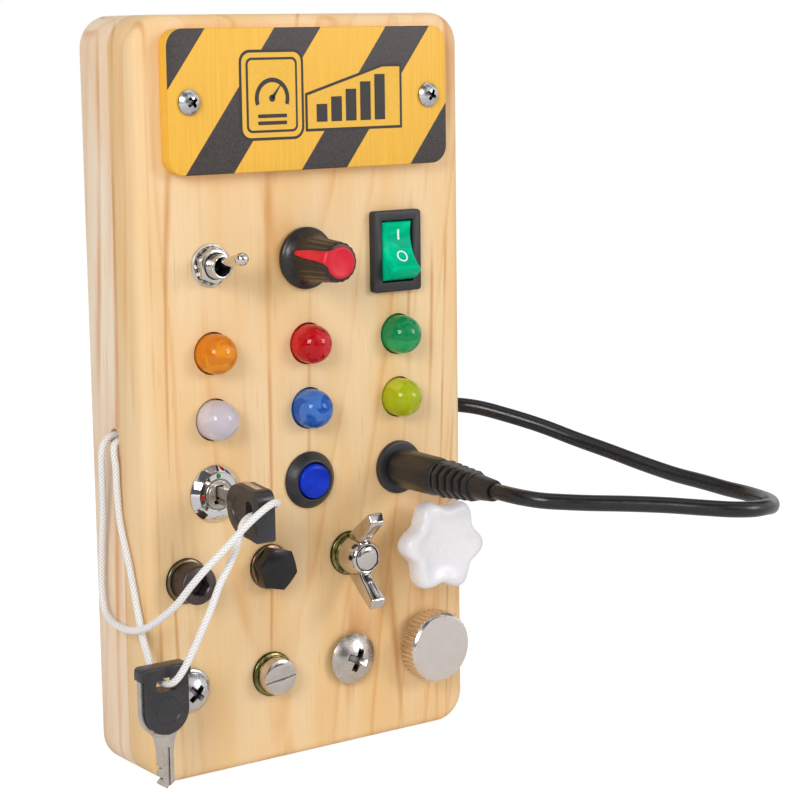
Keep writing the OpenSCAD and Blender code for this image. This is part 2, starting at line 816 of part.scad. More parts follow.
module pointer(width, side) {
    rotate([0, 0, pointer_angle]) rotate([90, 0, 0]) translate([0, 0, -width / 2])
        linear_extrude(width) polygon(side);
}

// A groove along the tapered grip
module flute(turn) {
    rise = knob_top_z - knob_grip_z;
    run = (knob_low_d - knob_top_d) / 2;
    rotate([0, 0, turn]) translate([knob_low_d / 2 + flute_r - flute_depth, 0, knob_grip_z])
        rotate([0, -atan(run / rise), 0]) bar(2 * flute_r, 0.4, rise + 3, 24);
}

module knob_body() {
    low = knob_low_d / 2;
    color("dimgray") on_face(knob_at) difference() {
        turned([
            [0, knob_lift], [skirt_d / 2, knob_lift], [skirt_d / 2, knob_lift + 1],
            [skirt_d / 2 - 0.4, knob_lift + 1.5], [low + 0.5, knob_grip_z - 0.7],
            [low, knob_grip_z], [knob_top_d / 2, knob_top_z - 0.6],
            [knob_top_d / 2 - 0.5, knob_top_z], [0, knob_top_z]
        ]);
        for (i = [0 : knob_flutes - 1]) {
            flute(pointer_angle + 360 * (i + 0.5) / knob_flutes);
        }
        bar(pot_nut_flats / cos(30) + 2 * knob_room, -eps, pot_nut_t + knob_room);
        bar(pot_bush_d + 2 * knob_room, -eps, knob_bore_z);
        d_shaft(pot_shaft_d + 2 * seat_gap, knob_bore_z - eps, knob_shaft_z + seat_gap,
            knob_bore_z - 2 * eps, pot_flat + seat_gap);
        pointer(pointer_w + 2 * seat_gap, pointer_side);
    }
}

module knob_cap() {
    color("crimson") on_face(knob_at) union() {
        turned([
            [0, knob_h - knob_cap_t], [cap_d / 2, knob_h - knob_cap_t],
            [cap_d / 2, knob_h - 0.3], [cap_d / 2 - 0.3, knob_h], [0, knob_h]
        ]);
        pointer(pointer_w, concat([[0, knob_h - knob_cap_t]], pointer_side, [[0, knob_h]]));
    }
}

// ---------- rocker switch ----------

module rocker_housing() {
    color("dimgray") on_face(rocker_at) difference() {
        union() {
            linear_extrude(bezel_t - 0.4) polygon(rounded(bezel_w, bezel_h, 1));
            linear_extrude(bezel_t) polygon(rounded(bezel_w - 0.8, bezel_h - 0.8, 0.8));
            translate([-housing_w / 2, -housing_h / 2, -housing_depth])
                cube([housing_w, housing_h, housing_depth + eps]);
            for (row = [-1 : 1]) {
                translate([-2.4, 6 * row - 0.4, -housing_depth - 5.5]) cube([4.8, 0.8, 5.5 + eps]);
            }
        }
        translate([-opening_w / 2, -opening_h / 2, -rocker_r - 1])
            cube([opening_w, opening_h, rocker_r + bezel_t + 2]);
        translate([0, 0, rocker_pivot_h]) rotate([0, 90, 0])
            bar(trunnion_d + 2 * shaft_gap, -trunnion_w / 2 - 0.1, trunnion_w / 2 + 0.1);
    }
}

module rocker_button() {
    lip = rocker_r * [sin(rocker_lip), cos(rocker_lip)];
    hollow_r = (pow(lip[0], 2) + pow(rocker_hollow, 2)) / (2 * rocker_hollow);
    sweep = asin(lip[0] / hollow_r);
    side = concat(
        arc([0, 0], rocker_r, -rocker_foot, 90 - rocker_lip, 6),
        arc([0, lip[1] - rocker_hollow + hollow_r], hollow_r, 270 + sweep, 270 - sweep, 10),
        arc([0, 0], rocker_r, 90 + rocker_lip, 180 + rocker_foot, 6)
    );
    color("seagreen") on_face(rocker_at) translate([0, 0, rocker_pivot_h])
        rotate([-rocker_tilt, 0, 0]) union() {
            rotate([90, 0, 90]) translate([0, 0, -rocker_w / 2])
                linear_extrude(rocker_w) polygon(side);
            rotate([0, 90, 0]) bar(trunnion_d, -trunnion_w / 2, trunnion_w / 2);
        }
}

// ---------- lamps ----------

module lamp(tint, col, row) {
    color(tint) on_face(lamp_at(col, row)) turned(concat(
        [[0, -front_wall - flange_t], [flange_d / 2, -front_wall - flange_t],
         [flange_d / 2, -front_wall], [lamp_d / 2, -front_wall]],
        arc([0, lamp_h], lamp_d / 2, 0, 90, 10)
    ));
}

module circuit_board() {
    top = -front_wall - flange_t - leg_l;
    middle = [lamp_x, lamp_z + lamp_pitch_z / 2];
    color("darkgreen") union() {
        on_face(middle) translate([0, 0, top - pcb_t]) linear_extrude(pcb_t)
            square([pocket_w - 2 * board_clear, lamp_pitch_z + 2 * board_over], center = true);
        for (col = [0 : 2], row = [0, 1], side = [-1, 1]) {
            on_face(lamp_at(col, row))
                translate([side * lamp_leg_x - lamp_leg / 2, -lamp_leg / 2, top - pcb_t / 2])
                cube([lamp_leg, lamp_leg, leg_l + pcb_t / 2]);
        }
    }
}

// ---------- lock and keys ----------

module lock_barrel() {
    rim = lock_rim_d / 2;
    bore = core_d / 2 + core_gap;
    color("silver") on_face(lock_at) turned([
        [bore, -lock_l], [lock_d / 2, -lock_l], [lock_d / 2, 0], [rim, 0],
        [rim, lock_rim_t * 0.5], [lock_d / 2 + 0.2, lock_rim_t], [lock_d / 2, lock_rim_t],
        [lock_d / 2 - 0.3, lock_rim_t - 0.3], [bore, lock_rim_t - 0.3]
    ]);
}

module lock_core() {
    color("gray") on_face(lock_at) difference() {
        bar(core_d, -lock_l - 2, lock_rim_t - 0.2);
        translate([-blade_t / 2 - 0.1, -blade_w / 2 - 0.1, lock_rim_t - 1 - key_in])
            cube([blade_t + 0.2, blade_w + 0.2, key_in + 2]);
    }
}

// Outline of a key's plastic head: a bar at the outer end, and a round inner end
function head_outline(bar_w, bar_l, w, l, r) = concat(
    arc([1, bar_w / 2 - 1], 1, 180, 90, 3), [[bar_l, bar_w / 2]],
    frame_outline(w, l, bar_l, r),
    [[bar_l, -bar_w / 2]], arc([1, -bar_w / 2 + 1], 1, 270, 180, 3)
);

// Outline of a U that opens towards the outer end
function frame_outline(w, l, from, r) = concat(
    [[from, w / 2]], arc([l - r, w / 2 - r], r, 90, 0, 8), arc([l - r, -w / 2 + r], r, 0, -90, 8),
    [[from, -w / 2]]
);

// The steel of a key: a frame round the head and the blade, cut from one sheet
module key_metal() {
    color("silver") translate([0, 0, -blade_t / 2]) difference() {
        union() {
            linear_extrude(blade_t)
                polygon(frame_outline(head_in_w + 2 * frame_w, head_l + frame_w, frame_from,
                    head_round + frame_w));
            linear_extrude(blade_t) polygon([
                [head_l - 0.8, -neck_w / 2], [head_l + 2.6, -blade_w * 0.56],
                [head_l + 5.6, -blade_w / 2], [head_l + 8, -blade_w / 2], [head_l + 8.6, -blade_w * 0.3],
                [head_l + 9.4, -blade_w / 2], [head_l + 10.6, -blade_w / 2],
                [head_l + 11.2, -blade_w * 0.25], [head_l + 12, -blade_w / 2],
                [head_l + blade_l - 1.4, -blade_w / 2], [head_l + blade_l, 0],
                [head_l + blade_l - 1.4, blade_w / 2], [head_l + 5.6, blade_w / 2],
                [head_l + 2.6, blade_w * 0.56], [head_l - 0.8, neck_w / 2]
            ]);
        }
        translate([0, 0, -eps]) linear_extrude(blade_t + 2 * eps)
            polygon(frame_outline(head_in_w + 2 * seat_gap, head_l + seat_gap, 0, head_round));
    }
}

// The plastic of a key head, with a slot for the string
module key_plastic() {
    rim = 0.5;
    bar_l = frame_from - 0.1;
    side = (key_hole_w - key_hole_d) / 2;
    color("dimgray") difference() {
        union() {
            translate([0, 0, -head_t / 2 + rim]) linear_extrude(head_t - 2 * rim)
                polygon(head_outline(head_w, bar_l, head_in_w, head_l, head_round));
            translate([rim, 0, -head_t / 2]) linear_extrude(head_t) polygon(head_outline(
                head_w - 2 * rim, bar_l - 2 * rim, head_in_w - 2 * rim, head_l - 2 * rim,
                head_round - rim
            ));
        }
        translate([key_hole_in, 0, -head_t]) linear_extrude(2 * head_t) polygon(concat(
            arc([0, side], key_hole_d / 2, 0, 180, 10), arc([0, -side], key_hole_d / 2, 180, 360, 10)
        ));
    }
}

module key_in_lock() {
    on_face(lock_at) translate([0, 0, lock_rim_t + key_gap + head_l]) rotate([0, 90, 0]) children();
}

module key_on_string() {
    translate(spare_hole + [0, 0, key_hole_in]) rotate([0, 0, -90]) rotate([0, 90, 0]) children();
}

module key_blade() {
    key_in_lock() key_metal();
}

module key_head() {
    key_in_lock() key_plastic();
}

module spare_key_blade() {
    key_on_string() key_metal();
}

module spare_key_head() {
    key_on_string() key_plastic();
}

// ---------- button, jack and plug ----------

module button_housing() {
    bore = button_d / 2 + button_gap;
    rim = button_bezel_d / 2;
    floor_z = -front_wall - button_depth;
    low_z = floor_z - button_floor_t;
    color("dimgray") on_face(button_at) union() {
        turned([
            [0, low_z], [port_d / 2, low_z], [port_d / 2, 0], [rim, 0], [rim, 0.6],
            [rim - 1, button_bezel_t - 0.3], [bore + 0.5, button_bezel_t], [bore, button_bezel_t - 0.5],
            [bore, floor_z], [0, floor_z]
        ]);
        for (side = [-1, 1]) {
            translate([side * button_pin_x - button_pin[0] / 2, -button_pin[1] / 2, low_z - button_pin[2]])
                cube(button_pin + [0, 0, eps]);
        }
    }
}

module button_cap() {
    r = button_d / 2;
    color("mediumblue") on_face(button_at) turned(concat(
        [[0, -10], [r * 0.45, -10], [r * 0.45, -6], [r, -6]],
        arc([r - 0.9, button_h - 1.1], 0.9, 0, 70, 4),
        [[0, button_h]]
    ));
}

module jack_body() {
    bore = barrel_d / 2 + plug_gap;
    rim = jack_flange_d / 2;
    floor_z = jack_flange_t - barrel_l - 1;
    color("dimgray") on_face(jack_at) turned([
        [0, floor_z - 4], [port_d / 2, floor_z - 4], [port_d / 2, 0], [rim, 0],
        [rim, jack_flange_t - 0.4], [rim - 0.4, jack_flange_t], [bore, jack_flange_t],
        [bore, floor_z], [jack_pin_d / 2, floor_z], [jack_pin_d / 2, 0], [0, 0]
    ]);
}

module back_nuts() {
    bore = 2 * seat_gap;
    color("silver") {
        on_face(lock_at) back_nut(lock_d + bore);
        on_face(button_at) back_nut(port_d + bore);
        on_face(jack_at) back_nut(port_d + bore);
    }
}

module back_nut(bore) {
    difference() {
        hexagon(ring_nut_flats, -front_wall - ring_nut_t, -front_wall);
        bar(bore, -front_wall - ring_nut_t - eps, -front_wall + eps);
    }
}

module plug_tip() {
    color("silver") on_face(jack_at) difference() {
        bar(barrel_d, jack_flange_t - barrel_l, jack_flange_t);
        bar(jack_pin_d + 0.6, jack_flange_t - barrel_l - eps, jack_flange_t - 1);
    }
}

module plug_body() {
    z0 = jack_flange_t;
    z1 = z0 + plug_l;
    z2 = z1 + relief_l;
    z3 = z2 + collar_l;
    core = cable_d / 2 + 0.8;
    pitch = relief_l / relief_ribs;
    color("dimgray") on_face(jack_at) union() {
        bar(2 * core, z0, z3);
        intersection() {
            rotate([0, 0, 22.5]) bar(plug_d / cos(22.5), z0, z1, 8);
            turned([
                [0, z0], [plug_d / 2 - 0.5, z0], [plug_d / 2 + 0.2, z0 + 1.2],
                [plug_d / 2 + 0.2, z1 - 2], [plug_d / 2 - 0.7, z1], [0, z1]
            ]);
        }
        for (i = [0 : relief_ribs - 1]) {
            rotate([0, 0, 22.5]) bar(plug_d - 0.3 - 0.42 * i, z1 + (i + 0.35) * pitch,
                z1 + (i + 1) * pitch, 8);
        }
        turned([[0, z2], [core + 0.5, z2], [core + 0.2, z3], [0, z3]]);
    }
}

module cable() {
    color("dimgray") loft(tube(cable_route, cable_d / 2, 10));
}

module string() {
    color("ivory") union() {
        loft(tube(smooth(string_route, string_step), string_d / 2, 8));
        translate([knot_x, string_hole[0], string_hole[1]]) sphere(r = knot_r, $fn = 24);
    }
}

// ---------- battery bay ----------

module battery_box() {
    color("dimgray") difference() {
        on_back([0, box_z]) translate([-box_w / 2, -box_h / 2, -back_t])
            cube([box_w, box_h, back_t - cover_t]);
        for (i = [0 : cells - 1]) {
            on_back([cell_x(i), box_z])
                translate([-cell_pitch / 2 + 0.3, -box_in_h / 2, -back_t + box_wall])
                cube([cell_pitch - 0.6, box_in_h, back_t]);
        }
        on_back([0, box_z]) translate([-box_in_w / 2, -box_in_h / 2, -back_t + box_wall + 5])
            cube([box_in_w, box_in_h, back_t]);
        for (side = [-1, 1]) {
            translate([side * lead_x, lead_y, box_z]) bar(lead_d + 0.2, 0, box_h);
        }
    }
}

// The end of a cell: a plate against the box's end wall with a coil on it
module contact() {
    plate_t = contact_plate[2];
    turn_h = 0.85 * contact_wire;
    translate([-contact_plate[0] / 2, -contact_plate[1] / 2, 0]) cube(contact_plate);
    for (i = [0 : 2]) {
        r = contact_spring_r - 0.7 * contact_wire * i;
        z0 = 0.75 * plate_t + turn_h * i;
        difference() {
            bar(2 * r, z0, z0 + contact_wire);
            bar(2 * (r - contact_wire), -eps, contact_space);
        }
    }
}

module battery_contacts() {
    color("silver") for (i = [0 : cells - 1], end = [-1, 1]) {
        translate([cell_x(i), cell_y, box_z - end * box_in_h / 2])
            rotate([end > 0 ? 0 : 180, 0, 0]) contact();
    }
}

module batteries() {
    color("gold") for (i = [0 : cells - 1]) {
        translate([cell_x(i), cell_y, box_z]) rotate([i % 2 == 0 ? 0 : 180, 0, 0]) union() {
            bar(cell_d, -cell_l / 2, cell_l / 2 - 1);
            bar(cell_d * 0.36, cell_l / 2 - 1.5, cell_l / 2);
        }
    }
}

// Leads from the box to the back of the circuit board
module battery_leads() {
    board_y = front_y + front_wall + flange_t + leg_l + pcb_t;
    top_z = lamp_z - lead_drop;
    low_z = box_z + box_in_h / 2;
    color("crimson") for (side = [-1, 1]) {
        translate([side * lead_x, 0, 0]) union() {
            translate([0, lead_y, 0]) bar(lead_d, low_z, top_z, 24);
            translate([0, lead_y, top_z]) sphere(d = lead_d, $fn = 24);
            translate([0, board_y, top_z]) rotate([-90, 0, 0]) bar(lead_d, 0, lead_y - board_y, 24);
        }
    }
}

module battery_cover() {
    color("burlywood") on_back([0, cover_z]) difference() {
        translate([0, 0, -cover_t]) linear_extrude(cover_t)
            polygon(rounded(cover_w, cover_h, cover_r - cover_gap));
        translate([0, cover_z - cover_screw_z, 0]) {
            bar(wood_screw_d + 2 * seat_gap, -cover_t - eps, eps);
            turned([
                [0, -cover_head_h - seat_gap], [wood_screw_d / 2 + seat_gap, -cover_head_h - seat_gap],
                [wood_screw_d / 2 + cover_head_h + seat_gap, 0],
                [wood_screw_d / 2 + cover_head_h + seat_gap, eps], [0, eps]
            ]);
        }
        translate([0, cover_h / 2, 0]) bar(scoop_d, -scoop_depth, eps);
    }
}

module cover_screw() {
    color("silver") on_back([0, cover_screw_z]) difference() {
        turned([
            [0, -cover_t - cover_screw_l + 0.5], [wood_screw_d / 2, -cover_t - cover_screw_l + 2],
            [wood_screw_d / 2, -cover_head_h], [wood_screw_d / 2 + cover_head_h, 0], [0, 0]
        ]);
        cross_recess(3, 0.9, 0, 1);
    }
}

// ---------- threaded screws ----------

module insert_nuts() {
    color("goldenrod") for (col = [0 : 3], row = [0, 1]) {
        on_face(screw_at(col, row)) difference() {
            bar(insert_d, -front_t + 0.3, -0.3);
            bar(thread_d + 2 * thread_gap, -front_t, 0);
        }
    }
}

module washer(col, row, tint) {
    color(tint) on_face(screw_at(col, row)) difference() {
        bar(washer_d, 0, washer_t);
        bar(thread_d + 2 * washer_gap, -eps, washer_t + eps);
    }
}

// The threaded shank, from inside a head down into the insert
module shank(z1) {
    turned([
        [0, -shank_l], [thread_d / 2 - 0.6, -shank_l], [thread_d / 2, -shank_l + 0.6],
        [thread_d / 2, z1], [0, z1]
    ]);
}

module socket_screw() {
    r = cap_head_d / 2;
    top = washer_t + cap_head_h;
    color("dimgray") on_face(screw_at(0, 1)) difference() {
        union() {
            turned([[0, washer_t], [r, washer_t], [r, top - 0.5], [r - 0.5, top], [0, top]]);
            shank(washer_t + eps);
        }
        rotate([0, 0, 20]) hexagon(cap_key, top - 3, top + eps);
    }
}

module hex_bolt() {
    top = washer_t + hex_head_h;
    corner = hex_flats / cos(30) / 2;
    color("dimgray") on_face(screw_at(1, 1)) rotate([0, 0, hex_turn]) union() {
        intersection() {
            hexagon(hex_flats, washer_t, top);
            turned([
                [0, 0], [corner + eps, 0], [corner + eps, top - 0.8], [hex_flats / 2 * 0.95, top],
                [0, top]
            ]);
        }
        shank(washer_t + eps);
    }
}

module wing_screw() {
    top = washer_t + wing_hub_h;
    r = wing_hub_d / 2;
    high = washer_t + wing_h;
    color("silver") on_face(screw_at(2, 1)) rotate([0, 0, wing_turn]) union() {
        turned([
            [0, washer_t], [r + 0.7, washer_t], [r + 0.7, washer_t + 1.4], [r, top - 0.4],
            [r - 0.4, top], [thread_d / 2 + 0.35, top], [thread_d / 2 + 0.1, top + 0.4], [0, top + 0.4]
        ]);
        shank(washer_t + eps);
        for (turn = [0, 180]) {
            rotate([0, 0, turn]) rotate([90, 0, 90]) translate([0, 0, -wing_t / 2])
                linear_extrude(wing_t) polygon([
                    [3, washer_t + 1.2], [r + 1.2, washer_t + 2], [wing_reach - 3.7, high - 7],
                    [wing_reach, high - 2], [wing_reach - 0.3, high - 1.3], [wing_reach - 2.7, high],
                    [wing_reach - 3.3, high - 0.3], [r + 1.7, high - 3.8], [3, high - 6.4]
                ]);
        }
    }
}

// One ring of the star knob: round at f = 0 and lobed at f = 1
function star_ring(z, f, inset, round_r) = [
    for (i = [0 : 8 * star_lobes - 1]) let (a = 45 * i / star_lobes)
        let (lobed = star_reach - inset - star_hollow * (1 - cos(star_lobes * a)) / 2)
        let (s = f * lobed + (1 - f) * round_r)
        [s * cos(a), s * sin(a), z]
];

module star_knob() {
    z0 = washer_t + star_neck_h;
    z1 = z0 + star_t;
    neck = thread_d / 2 + 2.2;
    color("whitesmoke") on_face(screw_at(3, 1)) difference() {
        rotate([0, 0, star_turn]) loft([
            star_ring(washer_t, 0, 0, neck),
            star_ring(z0 - 0.4, 0, 0, neck + 0.2),
            star_ring(z0, 1, 2.2, neck),
            star_ring(z0 + 1.4, 1, 0.1, neck),
            star_ring(z1 - 2, 1, 0, neck),
            star_ring(z1 - 0.8, 1, 0.4, neck),
            star_ring(z1 - 0.15, 1, 1.3, neck),
            star_ring(z1 - 0.1, 1, 2.2, neck),
            star_ring(z1 - 0.7, 0.55, 3.5, neck + 0.6),
            star_ring(z1 - 1, 0, 0, 3)
        ]);
        bar(thread_d + 2 * seat_gap, washer_t - eps, star_stud_z);
    }
}

module star_stud() {
    color("silver") on_face(screw_at(3, 1)) shank(star_stud_z);
}

// A domed screw with a cross recess
module cross_screw(d, h, rim, recess, turn) {
    difference() {
        union() {
            turned(dome(d, h, washer_t, rim));
            shank(washer_t + eps);
        }
        rotate([0, 0, turn]) cross_recess(recess, recess * 0.24, washer_t + h, 2.2);
    }
}

module phillips_screw() {
    color("silver") on_face(screw_at(0, 0)) cross_screw(pan_head_d, pan_head_h, 1.2, 5.6, 0);
}

module truss_screw() {
    color("silver") on_face(screw_at(2, 0)) cross_screw(truss_head_d, truss_head_h, 0.5, 6.6, 20);
}

module slotted_screw() {
    r = slot_head_d / 2;
    top = washer_t + slot_head_h;
    color("silver") on_face(screw_at(1, 0)) difference() {
        union() {
            turned([[0, washer_t], [r, washer_t], [r, top - 0.5], [r - 0.4, top], [0, top]]);
            shank(washer_t + eps);
        }
        rotate([0, 0, slot_turn]) translate([-slot_head_d, -0.7, top - 1.6])
            cube([2 * slot_head_d, 1.4, 1.6 + eps]);
    }
}

module thumb_screw() {
    r = thumb_head_d / 2;
    top = washer_t + thumb_head_h;
    knurl = [for (i = [0 : 2 * thumb_teeth - 1]) let (a = 180 * i / thumb_teeth)
        (i % 2 == 0 ? r : r - 0.3) * [cos(a), sin(a)]];
    color("silver") on_face(screw_at(3, 0)) union() {
        translate([0, 0, washer_t]) linear_extrude(thumb_head_h - 1) polygon(knurl);
        turned([
            [0, washer_t + 1], [r - 0.4, washer_t + 1], [r - 0.4, top - 0.6], [r - 1, top], [0, top]
        ]);
        shank(washer_t + eps);
    }
}

front_panel();
back_panel();
panel_screws();
sign_plate();
sign_screws();
toggle_body();
toggle_nut();
toggle_washer();
toggle_lever();
pot_body();
pot_shaft();
knob_body();
knob_cap();
rocker_housing();
rocker_button();
lamp("orange", 0, 1);  // lamp_orange
lamp("crimson", 1, 1);  // lamp_red
lamp("seagreen", 2, 1);  // lamp_green
lamp("white", 0, 0);  // lamp_white
lamp("dodgerblue", 1, 0);  // lamp_blue
lamp("yellowgreen", 2, 0);  // lamp_yellow
circuit_board();
lock_barrel();
lock_core();
key_blade();
key_head();
button_housing();
button_cap();
jack_body();
back_nuts();
plug_tip();
plug_body();
cable();
string();
spare_key_blade();
spare_key_head();
insert_nuts();
battery_box();
battery_contacts();
batteries();
battery_leads();
battery_cover();
cover_screw();
washer(0, 1, "darkgoldenrod");  // socket_washer
socket_screw();
washer(1, 1, "darkgoldenrod");  // hex_washer
hex_bolt();
washer(2, 1, "darkkhaki");  // wing_washer
wing_screw();
washer(3, 1, "silver");  // star_washer
star_knob();
star_stud();
washer(0, 0, "silver");  // phillips_washer
phillips_screw();
washer(1, 0, "darkkhaki");  // slotted_washer
slotted_screw();
washer(2, 0, "silver");  // truss_washer
truss_screw();
washer(3, 0, "silver");  // thumb_washer
thumb_screw();
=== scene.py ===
"""Looks of a wooden busy board: a pine block with a sign, switches, lamps, a lock, a jack and eight screws.

Every size is in millimetres in the block's own frame, which has its origin in the middle of the bottom face,
X to the right along the front, Y to the back and Z up. Meshes are turned to metres when they are placed.
"""

import logging
import math
from dataclasses import dataclass
from enum import Enum
from typing import Any, Callable, Sequence

import bmesh
import bpy
from mathutils import Matrix, Vector


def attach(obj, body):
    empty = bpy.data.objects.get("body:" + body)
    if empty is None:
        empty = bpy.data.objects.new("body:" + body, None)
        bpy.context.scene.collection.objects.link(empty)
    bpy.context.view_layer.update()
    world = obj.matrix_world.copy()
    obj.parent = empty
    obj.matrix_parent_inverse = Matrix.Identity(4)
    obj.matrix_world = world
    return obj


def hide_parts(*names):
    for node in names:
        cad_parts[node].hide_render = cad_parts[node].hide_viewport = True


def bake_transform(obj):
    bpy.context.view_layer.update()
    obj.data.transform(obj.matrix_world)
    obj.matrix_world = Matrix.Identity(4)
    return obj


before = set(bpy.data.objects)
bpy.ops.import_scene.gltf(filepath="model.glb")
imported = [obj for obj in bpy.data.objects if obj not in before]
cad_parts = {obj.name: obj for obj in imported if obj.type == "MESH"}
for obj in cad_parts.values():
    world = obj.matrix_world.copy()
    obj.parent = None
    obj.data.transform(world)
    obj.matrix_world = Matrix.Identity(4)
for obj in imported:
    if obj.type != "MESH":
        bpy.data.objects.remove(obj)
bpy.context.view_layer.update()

log = logging.getLogger("busy_board")

MM = 0.001
FRONT_Y = -13.5
BACK_Y = 13.5
TAU = 2 * math.pi

Point2 = tuple[float, float]
Point3 = tuple[float, float, float]
Tree = bpy.types.NodeTree
Node = bpy.types.Node

# places on the front and the back as (x, z), shared by the holes and by what sits in them
TOGGLE_AT, KNOB_AT, ROCKER_AT = (-28.5, 129.4), (-0.9, 129.4), (26.7, 129.4)
LOCK_AT, BUTTON_AT, JACK_AT = (-28.55, 72.4), (-0.7, 72.4), (27.15, 72.4)
LAMP_COLUMNS = [-28.3 + 28 * col for col in range(3)]
LAMP_ROWS = (91.0, 107.6)
SCREW_COLUMNS = [-37.8 + 24.4 * col for col in range(4)]
SCREW_ROWS = (23.4, 51.6)
LAYER_SCREWS = [(x, z) for x in (-44.25, 44.25) for z in (12, 118, 178)]
LID_Z = 34.75
LID_SCREW_Z = 60

# stands a side outline up: its first number becomes local Y and its second one local Z, out of the front
UPRIGHT = Matrix(((0, 0, 1, 0), (1, 0, 0, 0), (0, 1, 0, 0), (0, 0, 0, 1)))


# ---------- colour and nodes ----------


def linear(code: str) -> tuple[float, float, float, float]:
    """Turns an sRGB colour into Blender's linear values.

    Args:
        code: The colour as six hex digits, with or without a leading hash.

    Returns:
        Red, green, blue and an alpha of one.
    """
    digits = code.lstrip("#")
    parts = [int(digits[i : i + 2], 16) / 255 for i in (0, 2, 4)]
    red, green, blue = (
        p / 12.92 if p <= 0.04045 else ((p + 0.055) / 1.055) ** 2.4 for p in parts
    )
    return (red, green, blue, 1.0)


def wire(tree: Tree, node: Node, links: dict) -> None:
    """Sets or feeds a node's inputs.

    Args:
        tree: The material's node tree.
        node: The node.
        links: Input name or number to a value, or to the socket or node that feeds it.
    """
    for name, value in links.items():
        if isinstance(value, Node):
            value = value.outputs[0]
        if isinstance(value, bpy.types.NodeSocket):
            tree.links.new(value, node.inputs[name])
        else:
            node.inputs[name].default_value = value


def add(tree: Tree, kind: str, links: dict | None = None, **settings: Any) -> Node:
    """Adds a node.

    Args:
        tree: The material's node tree.
        kind: The node's type, without its ShaderNode prefix.
        links: What its inputs get, as wire takes it.
        **settings: Properties of the node itself.

    Returns:
        The new node.
    """
    node = tree.nodes.new("ShaderNode" + kind)
    for name, value in settings.items():
        setattr(node, name, value)
    wire(tree, node, links or {})
    return node


def bare_tree(owner: bpy.types.Material | bpy.types.World) -> Tree:
    """Empties the node tree of a material or a world.

    Args:
        owner: The material or the world.

    Returns:
        Its tree.
    """
    owner.use_nodes = True
    owner.node_tree.nodes.clear()
    return owner.node_tree


def ramp(node: Node, stops: Sequence[tuple[float, str]], step: bool = False) -> Node:
    """Sets the stops of a colour ramp.

    Args:
        node: A colour ramp node.
        stops: Places from 0 to 1 with their hex colours.
        step: True for hard changes from one colour to the next.

    Returns:
        The same node.
    """
    band = node.color_ramp
    band.interpolation = "CONSTANT" if step else "LINEAR"
    while len(band.elements) < len(stops):
        band.elements.new(0.5)
    for element, (place, code) in zip(band.elements, stops):
        element.position = place
        element.color = linear(code)
    return node


@dataclass(frozen=True)
class Finish:
    """A finish that makes one material and keeps it."""

    name: str

    @property
    def material(self) -> bpy.types.Material:
        """The finish's material, made on first use.

        Returns:
            The material, which reads its patterns in millimetres.
        """
        found = bpy.data.materials.get(self.name)
        if found is not None:
            return found
        made = bpy.data.materials.new(self.name)
        tree = bare_tree(made)
        shader = add(tree, "BsdfPrincipled")
        add(tree, "OutputMaterial", {"Surface": shader})
        coords = add(tree, "TexCoord")
        place = add(tree, "Mapping", {"Vector": coords.outputs["Object"], "Scale": (1000, 1000, 1000)})
        self.paint(tree, shader, place)
        return made

    def paint(self, tree: Tree, shader: Node, place: Node) -> None:
        """Sets the shader up.

        Args:
            tree: The material's node tree.
            shader: Its principled shader.
            place: Object coordinates in millimetres.
        """
        raise NotImplementedError


